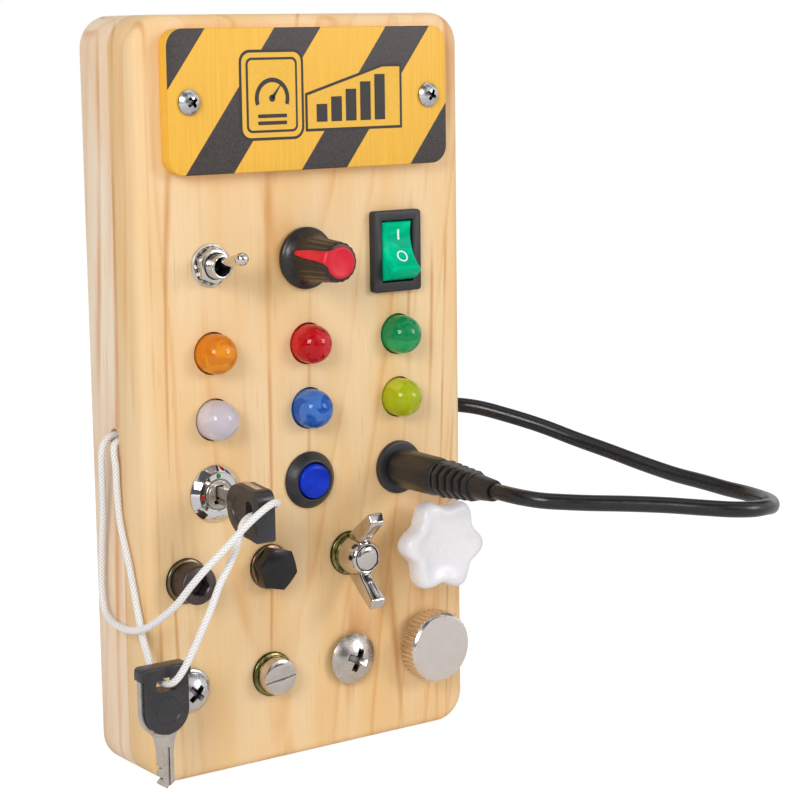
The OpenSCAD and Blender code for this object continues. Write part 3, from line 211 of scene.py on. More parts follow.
@dataclass(frozen=True)
class Pine(Finish):
    """Flat-sawn pine, sanded and sealed: pale early wood, faint rings, thin resin lines and a silky fibre."""

    early: str = "#EFCFA0"
    pale: str = "#F3DBB4"
    late: str = "#DFA465"
    resin: str = "#CF8F4E"
    fleck: str = "#C98F5C"
    pith: Point2 = (-8.0, 25.0)
    ring_mm: float = 6.3
    drift: float = 0.05
    taper: float = 0.06
    contrast: float = 0.55
    line_gap: float = 26.0

    def paint(self, tree: Tree, shader: Node, place: Node) -> None:
        """Rings about a pith behind the board, lines and flecks along it, and a slow change of tone.

        Args:
            tree: The node tree.
            shader: Its shader.
            place: Place in millimetres.
        """
        ring = self.rings(tree, place)
        # noise by its scale across and along the board, per millimetre, its detail and its roughness
        # real fibres are 0.03 mm wide: these are drawn 0.15 mm wide and 12 mm long, so that they show
        fields = ((3.2, 0.045, 3.0, 0.65), (1 / 14, 1 / 70, 2.0, 0.5), (1 / self.line_gap, 1 / 420, 1.0, 0.5),
                  (1 / 9, 1 / 55, 2.0, 0.5), (2.4, 0.09, 1.0, 0.5))
        fibre, cloud, level, patch, fleck = (
            add(tree, "TexNoise", {"Vector": add(tree, "Mapping", {"Vector": place, "Scale": (across, across, along)}),
                                   "Scale": 1.0, "Detail": detail, "Roughness": rough})
            for across, along, detail, rough in fields)
        strength = add(tree, "MapRange", {0: cloud, 1: 0.35, 2: 0.68, 3: 0.2 * self.contrast, 4: self.contrast})
        amount = add(tree, "Math", {0: ring, 1: strength}, operation="MULTIPLY")
        tone = add(tree, "MapRange", {0: cloud, 1: 0.4, 2: 0.62})
        base = add(tree, "Mix", {0: tone, 6: linear(self.pale), 7: linear(self.early)}, data_type="RGBA")
        ringed = add(tree, "Mix", {0: amount, 6: base.outputs[2], 7: linear(self.late)}, data_type="RGBA")
        # resin lines are the level lines of a noise drawn out along the board, under 1 mm wide
        steps = add(tree, "Math", {0: level, 1: 9.0}, operation="MULTIPLY")
        near = add(tree, "Math", {0: add(tree, "Math", {0: steps}, operation="FRACT"), 1: 0.5},
                   operation="SUBTRACT")
        away = add(tree, "Math", {0: near}, operation="ABSOLUTE")
        line = add(tree, "MapRange", {0: away, 1: 0.15, 2: 0.015, 3: 0.0, 4: 1.0})
        patchy = add(tree, "MapRange", {0: patch, 1: 0.45, 2: 0.62, 4: 0.75})
        lined = add(tree, "Math", {0: line, 1: patchy}, operation="MULTIPLY")
        resined = add(tree, "Mix", {0: lined, 6: ringed.outputs[2], 7: linear(self.resin)}, data_type="RGBA")
        flecks = add(tree, "MapRange", {0: fleck, 1: 0.66, 2: 0.74, 4: 0.5})
        flecked = add(tree, "Math", {0: flecks, 1: patchy}, operation="MULTIPLY")
        spotted = add(tree, "Mix", {0: flecked, 6: resined.outputs[2], 7: linear(self.fleck)}, data_type="RGBA")
        streak = add(tree, "MapRange", {0: fibre, 1: 0.3, 2: 0.72, 3: 0.0, 4: 0.16})
        wood = add(tree, "Mix", {0: streak, 6: spotted.outputs[2], 7: linear(self.late)}, data_type="RGBA")
        bump = add(tree, "Bump", {"Strength": 0.12, "Distance": 0.0002, "Height": fibre})
        wire(tree, shader, {"Base Color": wood.outputs[2], "Normal": bump, "Roughness": 0.5, "IOR": 1.45})

    def rings(self, tree: Tree, place: Node) -> Node:
        """The year rings, from 0 in the early wood to 1 in the late wood.

        Args:
            tree: The node tree.
            place: Place in millimetres.

        Returns:
            The ramp that gives them.
        """
        slow = add(tree, "Mapping", {"Vector": place, "Scale": (1 / 22, 1 / 22, 1 / 120)})
        wander = add(tree, "TexNoise", {"Vector": slow, "Scale": 1.0, "Detail": 2.0})
        shift = add(tree, "VectorMath", {0: wander.outputs["Color"], 1: (0.5, 0.5, 0.5)}, operation="SUBTRACT")
        swing = add(tree, "VectorMath", {0: shift, 1: (7.0, 7.0, 0.0)}, operation="MULTIPLY")
        moved = add(tree, "VectorMath", {0: place, 1: swing})
        split = add(tree, "SeparateXYZ", {0: moved})
        lean = add(tree, "Math", {0: split.outputs[2], 1: -self.drift, 2: 120 * self.drift - self.pith[0]},
                   operation="MULTIPLY_ADD")
        across = add(tree, "Math", {0: split.outputs[0], 1: lean})
        deep = add(tree, "Math", {0: split.outputs[1], 1: -self.pith[1]})
        flat = add(tree, "CombineXYZ", {0: across, 1: deep})
        radius = add(tree, "VectorMath", {0: flat}, operation="LENGTH")
        cone = add(tree, "Math", {0: split.outputs[2], 1: -self.taper, 2: radius.outputs["Value"]},
                   operation="MULTIPLY_ADD")
        count = add(tree, "Math", {0: cone, 1: self.ring_mm}, operation="DIVIDE")
        ring = add(tree, "Math", {0: count}, operation="FRACT")
        return ramp(add(tree, "ValToRGB", {0: ring}),
                    [(0.0, "#000000"), (0.55, "#1C1C1C"), (0.8, "#505050"), (0.93, "#FFFFFF"), (0.985, "#8A8A8A"),
                     (1.0, "#000000")])


@dataclass(frozen=True)
class StripedPaint(Finish):
    """Printed paint on a thin board: warm yellow with slanting black bands, worn along the edges."""

    yellow: str = "#F4BC3C"
    deep_yellow: str = "#E9AE38"
    black: str = "#2A2423"
    pale_black: str = "#4A3F3D"
    bare_wood: str = "#E6C58E"
    half: Point2 = (41.25, 17.5)
    middle_z: float = 169.2
    face_y: float = -17.5
    slant: float = 0.746
    period: float = 33.25
    band: Point2 = (9.35, 22.95)

    def paint(self, tree: Tree, shader: Node, place: Node) -> None:
        """Bands on the front only, print grain in the black, and bare wood where an edge is rubbed.

        Args:
            tree: The node tree.
            shader: Its shader.
            place: Place in millimetres.
        """
        split = add(tree, "SeparateXYZ", {0: place})
        up = add(tree, "Math", {0: split.outputs[2], 1: self.middle_z}, operation="SUBTRACT")
        along = add(tree, "Math", {0: up, 1: -self.slant, 2: split.outputs[0]}, operation="MULTIPLY_ADD")
        turn = add(tree, "Math", {0: along, 1: self.period}, operation="FLOORED_MODULO")
        above = add(tree, "Math", {0: turn, 1: self.band[0]}, operation="GREATER_THAN")
        below = add(tree, "Math", {0: turn, 1: self.band[1]}, operation="LESS_THAN")
        band = add(tree, "Math", {0: above, 1: below}, operation="MULTIPLY")
        front = add(tree, "Math", {0: split.outputs[1], 1: self.face_y + 0.22}, operation="LESS_THAN")
        striped = add(tree, "Math", {0: band, 1: front}, operation="MULTIPLY")
        speck = add(tree, "TexNoise", {"Vector": place, "Scale": 2.6, "Detail": 2.0, "Roughness": 0.7})
        ink = ramp(add(tree, "ValToRGB", {0: speck}), [(0.35, self.black), (0.72, self.pale_black)])
        grain_at = add(tree, "Mapping", {"Vector": place, "Scale": (1.6, 1.6, 0.05)})
        grain = add(tree, "TexNoise", {"Vector": grain_at, "Scale": 1.0, "Detail": 3.0})
        ground = ramp(add(tree, "ValToRGB", {0: grain}), [(0.3, self.yellow), (0.75, self.deep_yellow)])
        colour = add(tree, "Mix", {0: striped, 6: ground.outputs[0], 7: ink.outputs[0]}, data_type="RGBA")
        out_x = add(tree, "Math", {0: add(tree, "Math", {0: split.outputs[0]}, operation="ABSOLUTE"),
                                   1: self.half[0]}, operation="SUBTRACT")
        out_z = add(tree, "Math", {0: add(tree, "Math", {0: up}, operation="ABSOLUTE"), 1: self.half[1]},
                    operation="SUBTRACT")
        edge = add(tree, "Math", {0: out_x, 1: out_z}, operation="MAXIMUM")
        rim = add(tree, "MapRange", {0: edge, 1: -0.5, 2: -0.05})
        rub = add(tree, "TexNoise", {"Vector": place, "Scale": 0.55, "Detail": 5.0, "Roughness": 0.7})
        worn = add(tree, "Math", {0: rub, 1: rim}, operation="MULTIPLY")
        bare = add(tree, "MapRange", {0: worn, 1: 0.6, 2: 0.64, 4: 0.8})
        final = add(tree, "Mix", {0: bare, 6: colour.outputs[2], 7: linear(self.bare_wood)}, data_type="RGBA")
        shine = add(tree, "MapRange", {0: speck, 3: 0.42, 4: 0.58})
        bump = add(tree, "Bump", {"Strength": 0.08, "Distance": 0.0002, "Height": speck})
        wire(tree, shader, {"Base Color": final.outputs[2], "Roughness": shine, "Normal": bump})


@dataclass(frozen=True)
class Metal(Finish):
    """Plated or blackened steel or brass: one metal colour with faint stains, wiping marks and grit, and painted shade
    in its nooks.
    """

    colour: str = "#C9C6C2"
    stain: str = "#B9B3AC"
    roughness: float = 0.22
    grit_mm: float = 0.4
    bump: float = 0.03
    metallic: float = 1.0
    nook_mm: float = 0.9

    def paint(self, tree: Tree, shader: Node, place: Node) -> None:
        """Stains 3 mm across, grit of the given size in gloss and height, and painted shade in slots and corners.

        Args:
            tree: The node tree.
            shader: Its shader.
            place: Place in millimetres.
        """
        cloud = add(tree, "TexNoise", {"Vector": place, "Scale": 1 / 3, "Detail": 3.0})
        colour = ramp(add(tree, "ValToRGB", {0: cloud}), [(0.38, self.colour), (0.68, self.stain)])
        # painted shade: the colour is darkened where ambient occlusion finds other surfaces within nook_mm, in slots,
        # threads, recesses and where parts meet
        open_sky = add(tree, "AmbientOcclusion", {"Distance": self.nook_mm * MM})
        nook_shade = add(tree, "MapRange", {0: open_sky.outputs["AO"], 1: 0.3, 2: 0.85, 3: 0.06, 4: 1.0})
        shaded = add(tree, "Mix", {0: 1.0, 6: colour.outputs[0], 7: nook_shade}, data_type="RGBA",
                     blend_type="MULTIPLY")
        grit = add(tree, "TexNoise", {"Vector": place, "Scale": 1 / self.grit_mm, "Detail": 3.0, "Roughness": 0.6})
        gloss = add(tree, "MapRange", {0: grit, 1: 0.3, 2: 0.7, 3: self.roughness * 0.75, 4: self.roughness * 1.35})
        bump = add(tree, "Bump", {"Strength": self.bump, "Distance": 0.0001, "Height": grit})
        wire(tree, shader, {"Base Color": shaded.outputs[2], "Roughness": gloss, "Normal": bump,
                            "Metallic": self.metallic})


@dataclass(frozen=True)
class RainbowZinc(Finish):
    """Chromate-passivated zinc, whose thin film turns colour in patches, with painted shade on the faces that turn
    away from the front, darkest round the rim.
    """

    stops: tuple[tuple[float, str], ...] = ((0.3, "#A98A5A"), (0.6, "#7F9A82"))
    # colour of the painted shade on faces that turn away from the front, such as the rim
    rim: str = "#3A2E1C"
    patch_mm: float = 4.0
    roughness: float = 0.28

    def paint(self, tree: Tree, shader: Node, place: Node) -> None:
        """Patches of film colour a few millimetres across over a fine metal grit, and painted shade on the faces that
        turn away from the front.

        Args:
            tree: The node tree.
            shader: Its shader.
            place: Place in millimetres.
        """
        cloud = add(tree, "TexNoise", {"Vector": place, "Scale": 1 / self.patch_mm, "Detail": 3.0, "Distortion": 0.8})
        colour = ramp(add(tree, "ValToRGB", {0: cloud}), list(self.stops))
        # painted shade: faces whose normal turns away from the front blend to the dark rim colour
        facing = add(tree, "SeparateXYZ", {0: add(tree, "NewGeometry").outputs["Normal"]})
        flat = add(tree, "MapRange", {0: facing.outputs[1], 1: -0.35, 2: -0.9})
        film = add(tree, "Mix", {0: flat, 6: linear(self.rim), 7: colour.outputs[0]}, data_type="RGBA")
        grit = add(tree, "TexNoise", {"Vector": place, "Scale": 3.0, "Detail": 2.0})
        bump = add(tree, "Bump", {"Strength": 0.05, "Distance": 0.0001, "Height": grit})
        wire(tree, shader, {"Base Color": film.outputs[2], "Normal": bump, "Metallic": 1.0,
                            "Roughness": self.roughness})


@dataclass(frozen=True)
class Moulded(Finish):
    """Moulded plastic: an even colour with the fine pebble of the mould and slight cloudiness."""

    colour: str = "#1B1A1B"
    shade: str = "#232122"
    roughness: float = 0.38
    pebble_mm: float = 0.25
    bump: float = 0.08
    sheen: float = 0.5

    def paint(self, tree: Tree, shader: Node, place: Node) -> None:
        """Pebble of the given size in height and gloss.

        Args:
            tree: The node tree.
            shader: Its shader.
            place: Place in millimetres.
        """
        cloud = add(tree, "TexNoise", {"Vector": place, "Scale": 0.2, "Detail": 2.0})
        colour = ramp(add(tree, "ValToRGB", {0: cloud}), [(0.35, self.colour), (0.7, self.shade)])
        pebble = add(tree, "TexNoise", {"Vector": place, "Scale": 1 / self.pebble_mm, "Detail": 1.0})
        gloss = add(tree, "MapRange", {0: pebble, 1: 0.3, 2: 0.7, 3: self.roughness * 0.85, 4: self.roughness * 1.2})
        bump = add(tree, "Bump", {"Strength": self.bump, "Distance": 0.0001, "Height": pebble})
        wire(tree, shader, {"Base Color": colour, "Roughness": gloss, "Normal": bump,
                            "Specular IOR Level": self.sheen, "IOR": 1.5})


@dataclass(frozen=True)
class LensPlastic(Finish):
    """Diffused lamp resin: a coloured body with paler zones where it is thin, under a clear moulded gloss."""

    colour: str = "#E08A1E"
    thin: str = "#F0A94A"
    glow: float = 0.45
    depth_mm: float = 2.2
    clear: float = 0.12
    roughness: float = 0.06
    sheen: float = 0.28

    def paint(self, tree: Tree, shader: Node, place: Node) -> None:
        """Light scatters a few millimetres deep, and flow marks part the deep zones from the pale ones.

        Args:
            tree: The node tree.
            shader: Its shader.
            place: Place in millimetres.
        """
        flow = add(tree, "TexNoise", {"Vector": place, "Scale": 0.16, "Detail": 1.5, "Distortion": 0.6})
        zone = add(tree, "MapRange", {0: flow, 1: 0.5, 2: 0.58}, interpolation_type="SMOOTHSTEP")
        colour = add(tree, "Mix", {0: zone, 6: linear(self.colour), 7: linear(self.thin)}, data_type="RGBA")
        pit = add(tree, "TexNoise", {"Vector": place, "Scale": 0.9, "Detail": 2.0})
        bump = add(tree, "Bump", {"Strength": 0.03, "Distance": 0.0002, "Height": pit})
        red, green, blue, _ = linear(self.colour)
        wire(tree, shader, {"Base Color": colour.outputs[2], "Normal": bump, "Subsurface Weight": self.glow,
                            "Subsurface Radius": (0.3 + red, 0.3 + green, 0.3 + blue),
                            "Subsurface Scale": self.depth_mm * MM, "Transmission Weight": self.clear,
                            "Roughness": self.roughness, "Specular IOR Level": self.sheen, "IOR": 1.52})


@dataclass(frozen=True)
class Enamel(Finish):
    """A dab or print of glossy paint, slightly uneven."""

    colour: str = "#17863B"
    roughness: float = 0.3

    def paint(self, tree: Tree, shader: Node, place: Node) -> None:
        """One colour that thins a little in places.

        Args:
            tree: The node tree.
            shader: Its shader.
            place: Place in millimetres.
        """
        thin = add(tree, "TexNoise", {"Vector": place, "Scale": 1.5, "Detail": 2.0})
        dark = add(tree, "HueSaturation", {"Color": linear(self.colour), "Value": 0.85})
        colour = add(tree, "Mix", {0: thin, 6: linear(self.colour), 7: dark.outputs[0]}, data_type="RGBA")
        wire(tree, shader, {"Base Color": colour.outputs[2], "Roughness": self.roughness})


@dataclass(frozen=True)
class Braid(Finish):
    """Braided polyester cord: white strands that pass over each other in a herringbone, with a soft sheen."""

    colour: str = "#F4F2F0"
    # the painted shade of the low places between strands
    gap: str = "#B9B4B0"

    def paint(self, tree: Tree, shader: Node, place: Node) -> None:
        """The tube's UV map runs round it and along it, and its attribute says how high each strand lies.

        A real cord has some 16 finer strands: fewer and wider ones are drawn, so that they show.

        Args:
            tree: The node tree.
            shader: Its shader.
            place: Place in millimetres.
        """
        height = add(tree, "Attribute", attribute_name="strand")
        # painted shade: where the strands dip, the colour goes to the darker gap colour
        colour = ramp(add(tree, "ValToRGB", {0: height.outputs["Fac"]}), [(0.1, self.gap), (0.72, self.colour)])
        fuzz = add(tree, "TexNoise", {"Vector": place, "Scale": 9.0, "Detail": 2.0})
        bump = add(tree, "Bump", {"Strength": 0.2, "Distance": 0.0001, "Height": fuzz})
        wire(tree, shader, {"Base Color": colour, "Normal": bump, "Roughness": 0.62, "Sheen Weight": 0.25,
                            "Sheen Roughness": 0.5})


class Stock:
    """The finishes of this board, each named for the real material."""

    # pine, planed, sanded and sealed: pale early wood, faint rings and thin resin lines with a silky fibre
    FRONT_PINE = Pine("sealed_pine_front", early="#EFC88F", pale="#F3D4A5", late="#DC9850")
    # the same from another board, with wider rings, and paler and greyer to paint the light that falls on the side of
    # the block, where this layer shows
    BACK_PINE = Pine("sealed_pine_back", early="#EDD1B0", pale="#F2E0C8", late="#D9AA86", pith=(14.0, 46.0),
                     ring_mm=7.4, drift=-0.03, taper=0.03, contrast=0.5)
    COVER_PINE = Pine("sealed_pine_cover", pith=(30.0, 60.0), ring_mm=5.0)
    # screen-printed enamel on plywood: flat yellow and a grainy black, rubbed off along the edges
    SIGN = StripedPaint("printed_sign_paint")
    # printed ink: thin, flat and half matt
    INK = Enamel("black_sign_ink", "#2A2423", 0.5)
    SIGN_YELLOW = Enamel("yellow_sign_ink", "#F4BC3C", 0.5)
    # nickel plate on turned brass: a warm white mirror with fine grit, and painted shade in its slots
    NICKEL = Metal("bright_nickel_plate", "#D6D2CC", "#CCC6BF", 0.15, 0.6, 0.012)
    # the same, buffed: clear reflections
    MIRROR = Metal("mirror_nickel_plate", "#DAD6D0", "#D3CEC7", 0.05, 1.0, 0.004)
    # nickel-plated spring steel, stamped: duller, with painted shade between the teeth
    LOCK_RING = Metal("star_lock_washer_steel", "#DAD6D0", "#BFB8B0", 0.34, 0.5, 0.06, 0.6, 0.25)
    # zinc die casting, tumbled and nickelled: soft, rounded reflections
    CAST = Metal("polished_zinc_casting", "#D4CEC9", "#CAC2BB", 0.12, 0.8, 0.015)
    # nickel on a knurled brass knob: pale, since the ridges catch the light
    KNURLED = Metal("nickel_thumb_knob", "#E9E0DA", "#E4DBD4", 0.2, 0.8, 0.006)
    # bright zinc plate on steel: a bluish grey shine, with deep painted shade in the recesses
    ZINC = Metal("bright_zinc_plate", "#CFCFD0", "#C3C3C6", 0.22, 0.4, 0.03, 1.0, 2.4)
    # chrome plate: the cleanest mirror of the board
    CHROME = Metal("polished_chrome_plate", "#E2E0DF", "#DCD9D7", 0.06, 0.8, 0.006)
    # nickel plate, handled: blurred reflections, and painted shade that reaches far into its hollows
    WIPED = Metal("wiped_nickel_plate", "#CFC8C2", "#C4BBB2", 0.24, 0.4, 0.03, 1.0, 3.0)
    # turned steel: a satin shine from fine tool marks
    SATIN = Metal("satin_turned_steel", "#CBC4BA", "#C0B8AD", 0.3, 0.25, 0.05)
    # nickelled strip steel, punched: flat faces with a blurred shine
    KEY_STEEL = Metal("punched_key_steel", "#CFC7C0", "#C3BAB2", 0.28, 0.3, 0.04)
    # black oxide under oil: a dark metal with sharp glints
    BLACK_OXIDE = Metal("black_oxide_steel", "#2A2829", "#302D2D", 0.2, 0.6, 0.05, 0.6)
    # black oxide, dry: a brownish grey with wide, dull glints
    CAP_BLACK = Metal("grey_oxide_steel", "#574D4C", "#4C4342", 0.36, 0.3, 0.08, 0.8)
    # machined brass: warm and clean
    BRASS = Metal("machined_brass", "#C9A24E", "#B58C3E", 0.3, 0.4, 0.04)
    # zinc under an olive chromate: patches of dull green and gold, with painted shade round the rim
    YELLOW_ZINC = RainbowZinc("olive_chromate_zinc", (
        (0.32, "#6F6B3C"), (0.44, "#97905A"), (0.52, "#55562E"), (0.60, "#868052"), (0.70, "#6E5A38")))
    # zinc under a brown chromate: patches of rust, green and violet, with painted shade round the rim
    RAINBOW_ZINC = RainbowZinc("brown_chromate_zinc", (
        (0.30, "#7E5A40"), (0.42, "#A88260"), (0.50, "#8A5C55"), (0.57, "#66705A"), (0.66, "#8E6A48")))
    # ABS, moulded in a fine-grained mould: a dark grey with a soft shine
    BLACK_PLASTIC = Moulded("black_abs", "#212023", "#2A282B", 0.45, 0.3, 0.12)
    BEZEL_BLACK = Moulded("grained_black_bezel", "#262528", "#2D2B2E", 0.42, 0.4, 0.1)
    # soft PVC, moulded: the same with a broader shine
    GRIP_BLACK = Moulded("soft_black_grip", "#1F1E20", "#282628", 0.38, 0.3, 0.08)
    # ABS from a polished mould: black with a clear highlight on each flute
    KNOB_PLASTIC = Moulded("black_knob_abs", "#1C1A1B", "#262223", 0.32, 0.5, 0.05)
    # ABS, coarse-grained: speckled highlights
    KEY_PLASTIC = Moulded("grained_key_abs", "#2A292C", "#343236", 0.3, 0.3, 0.1)
    # red and blue ABS from polished moulds: full colour under a thin gloss
    RED_PLASTIC = Moulded("red_cap_abs", "#D2152A", "#DC2B3C", 0.36, 0.5, 0.06, 0.3)
    BUTTON_BLUE = Moulded("blue_button_abs", "#0A2BAE", "#1236C4", 0.24, 0.6, 0.02, 0.15)
    # white thermoset, pressed: an even white with a clean gloss
    STAR_WHITE = Moulded("white_thermoset", "#EAE8EB", "#EEECEF", 0.26, 2.5, 0.0)
    # extruded PVC: smooth and black, with one long highlight
    CABLE = Moulded("black_pvc_sheath", "#19181B", "#1F1D21", 0.26, 2.0, 0.01)
    # clear green resin, moulded: light goes in a little and comes back brighter
    ROCKER_GREEN = LensPlastic("green_rocker_resin", "#00BE8A", "#02D29C", 0.4, 1.5, 0.0, 0.2, 0.03)
    # filled enamel: plain white
    MARK_WHITE = Enamel("white_switch_mark", "#F8FFFC", 0.5)
    # tinted epoxy with diffuser, cast: it glows from inside under a clear gloss
    ORANGE = LensPlastic("orange_lamp_resin", "#E08212", "#EC981E")
    RED = LensPlastic("red_lamp_resin", "#C00A14", "#D3242C")
    GREEN = LensPlastic("green_lamp_resin", "#0F9152", "#2CAA66")
    MILK = LensPlastic("milky_lamp_resin", "#CFC6CE", "#DAD2D8", 0.6, 2.5, 0.1)
    BLUE = LensPlastic("blue_lamp_resin", "#1259B8", "#4A7DCB")
    YELLOW = LensPlastic("yellow_lamp_resin", "#B4BE10", "#C9CE3A")
    # drops of glossy enamel
    GREEN_DOT = Enamel("green_dot_enamel", "#1C7A35", 0.25)
    RED_DOT = Enamel("red_dot_enamel", "#C01A1C", 0.25)
    # polyester, braided: white strands, with painted shade in the gaps between them
    STRING = Braid("white_braided_polyester", "#F6F4F2", "#A39E9A")
    # glass laminate under solder mask: an even green
    BOARD_GREEN = Moulded("green_circuit_laminate", "#1C6B3A", "#215F38", 0.4, 0.8, 0.05)
    # extruded PVC: matt red
    LEAD_RED = Moulded("red_pvc_lead", "#B02020", "#A81C1C", 0.4)
    # printed film on a steel can: gold and black with a metal shine
    CELL = Metal("printed_cell_sleeve", "#C9A227", "#3A3A3C", 0.3, 3.0, 0.01, 0.4)


# ---------- workpieces ----------


def arc(centre: Point2, radius: float, start: float, end: float, steps: int) -> list[Point2]:
    """Points of an arc.

    Args:
        centre: Its centre.
        radius: Its radius.
        start: First angle in degrees.
        end: Last angle in degrees.
        steps: How many parts it has.

    Returns:
        The points, both ends among them.
    """
    turns = [math.radians(start + (end - start) * i / steps) for i in range(steps + 1)]
    return [(centre[0] + radius * math.cos(a), centre[1] + radius * math.sin(a)) for a in turns]


def rounded(width: float, height: float, radius: float, steps: int = 8) -> list[Point2]:
    """The outline of a rounded rectangle about the origin.

    Args:
        width: Along X.
        height: Along Y.
        radius: Of its corners.
        steps: Parts of each corner.

    Returns:
        Its points, turning left.
    """
    x, y = width / 2 - radius, height / 2 - radius
    corners = (((x, y), 0), ((-x, y), 90), ((-x, -y), 180), ((x, -y), 270))
    return [p for centre, a in corners for p in arc(centre, radius, a, a + 90, steps)]


class Cut(Enum):
    """How one workpiece acts on another."""

    AWAY = "DIFFERENCE"
    COMMON = "INTERSECT"
    JOIN = "UNION"


class Blank:
    """A workpiece in millimetres, shaped with bmesh operators."""

    def __init__(self) -> None:
        """Starts with nothing in it."""
        self.bm = bmesh.new()

    def _take(self, bm: bmesh.types.BMesh) -> "Blank":
        """Moves another bmesh's shape into this one.

        Args:
            bm: The other bmesh, which is used up.

        Returns:
            This workpiece.
        """
        mesh = bpy.data.meshes.new("taken")
        bm.to_mesh(mesh)
        bm.free()
        self.bm.from_mesh(mesh)
        bpy.data.meshes.remove(mesh)
        return self

    def lathe(self, section: Sequence[Point2], steps: int = 64) -> "Blank":
        """Turns a half section about Z.

        Args:
            section: Points as (radius, height). It is closed along the axis, or back to its first point.
            steps: Sides of the turned shape.

        Returns:
            This workpiece.
        """
        bm = bmesh.new()
        verts = [bm.verts.new((r, 0.0, z)) for r, z in section]
        pairs = list(zip(verts, verts[1:]))
        if section[0][0] > 1e-6 and section[-1][0] > 1e-6:
            pairs.append((verts[-1], verts[0]))
        edges = [bm.edges.new(pair) for pair in pairs]
        bmesh.ops.spin(bm, geom=verts + edges, cent=(0, 0, 0), axis=(0, 0, 1), dvec=(0, 0, 0), angle=TAU,
                       steps=steps, use_merge=True)
        bmesh.ops.remove_doubles(bm, verts=bm.verts[:], dist=1e-4)
        bmesh.ops.recalc_face_normals(bm, faces=bm.faces[:])
        return self._take(bm)

    def prism(self, outline: Sequence[Point2], low: float, high: float) -> "Blank":
        """Raises an outline from one height to another.

        Args:
            outline: Its points.
            low: First height.
            high: Last height.

        Returns:
            This workpiece.
        """
        bm = bmesh.new()
        face = bm.faces.new([bm.verts.new((x, y, low)) for x, y in outline])
        raised = bmesh.ops.extrude_face_region(bm, geom=[face])
        top = [v for v in raised["geom"] if isinstance(v, bmesh.types.BMVert)]
        bmesh.ops.translate(bm, verts=top, vec=(0, 0, high - low))
        bmesh.ops.recalc_face_normals(bm, faces=bm.faces[:])
        return self._take(bm)

    def box(self, size: Point3, centre: Point3 = (0, 0, 0)) -> "Blank":
        """Adds a block.

        Args:
            size: Its three sides.
            centre: Its middle.

        Returns:
            This workpiece.
        """
        bm = bmesh.new()
        bmesh.ops.create_cube(bm, size=1.0, matrix=Matrix.Translation(centre) @ Matrix.Diagonal((*size, 1)))
        return self._take(bm)

    def rod(self, diameter: float, low: float, high: float, sides: int = 48, turn: float = 0.0) -> "Blank":
        """Adds a straight bar with that many sides.

        Args:
            diameter: Across its corners.
            low: First height.
            high: Last height.
            sides: How many it has.
            turn: Angle about its axis, in degrees.

        Returns:
            This workpiece.
        """
        bm = bmesh.new()
        middle = Matrix.Translation((0, 0, (low + high) / 2)) @ Matrix.Rotation(math.radians(turn), 4, "Z")
        bmesh.ops.create_cone(bm, cap_ends=True, segments=sides, radius1=diameter / 2, radius2=diameter / 2,
                              depth=high - low, matrix=middle)
        return self._take(bm)

    def hexagon(self, flats: float, low: float, high: float, turn: float = 0.0) -> "Blank":
        """Adds a six-sided bar, given across its flats."""
        return self.rod(flats / math.cos(math.pi / 6), low, high, 6, turn)

    def stack(self, rings: Sequence[tuple[float, Callable[[float], float]]], sides: int) -> "Blank":
        """Raises a ring of edges through heights, each with its own radius at each angle.

        Args:
            rings: Heights with a function from an angle in radians to a radius.
            sides: Sides of the ring.

        Returns:
            This workpiece, closed at both ends.
        """
        bm = bmesh.new()
        bmesh.ops.create_circle(bm, cap_ends=True, segments=sides, radius=1.0)
        loop = bm.edges[:]

        def set_ring(verts: list[bmesh.types.BMVert], z: float, radius: Callable[[float], float]) -> None:
            """Puts a ring's points at their radius and height.

            Args:
                verts: The points.
                z: Their height.
                radius: Gives the radius at an angle.
            """
            for v in verts:
                angle = math.atan2(v.co.y, v.co.x)
                v.co = (radius(angle) * math.cos(angle), radius(angle) * math.sin(angle), z)

        set_ring(bm.verts[:], *rings[0])
        for z, radius in rings[1:]:
            raised = bmesh.ops.extrude_edge_only(bm, edges=loop)["geom"]
            loop = [e for e in raised if isinstance(e, bmesh.types.BMEdge)]
            set_ring([v for v in raised if isinstance(v, bmesh.types.BMVert)], z, radius)
        bmesh.ops.contextual_create(bm, geom=loop)
        bmesh.ops.recalc_face_normals(bm, faces=bm.faces[:])
        return self._take(bm)

    def ease(self, width: float, segments: int = 2, over: float = 30.0,
             where: Callable[[Vector], bool] | None = None) -> "Blank":
        """Rounds the edges that are sharper than an angle.

        Args:
            width: Width of the rounding.
            segments: Its parts.
            over: Least angle between an edge's two faces, in degrees.
            where: A test of the edge's middle, if only some edges are rounded.

        Returns:
            This workpiece.
        """
        limit = math.radians(over)
        sharp = [
            e
            for e in self.bm.edges
            if len(e.link_faces) == 2
            and e.calc_face_angle(0.0) > limit
            and (where is None or where((e.verts[0].co + e.verts[1].co) / 2))
        ]
        bmesh.ops.bevel(self.bm, geom=sharp, offset=width, offset_type="OFFSET", affect="EDGES", segments=segments,
                        profile=0.5, clamp_overlap=True, material=-1)
        return self

    def put(self, matrix: Matrix) -> "Blank":
        """Moves or turns what is in the workpiece."""
        bmesh.ops.transform(self.bm, matrix=matrix, verts=self.bm.verts[:])
        return self

    def shift(self, x: float = 0.0, y: float = 0.0, z: float = 0.0) -> "Blank":
        """Moves what is in the workpiece."""
        return self.put(Matrix.Translation((x, y, z)))

    def turn(self, degrees: float, axis: str = "Z") -> "Blank":
        """Turns what is in the workpiece about an axis through the origin."""
        return self.put(Matrix.Rotation(math.radians(degrees), 4, axis))

    def join(self, other: "Blank") -> "Blank":
        """Takes another workpiece's shape in beside this one's."""
        return self._take(other.bm)

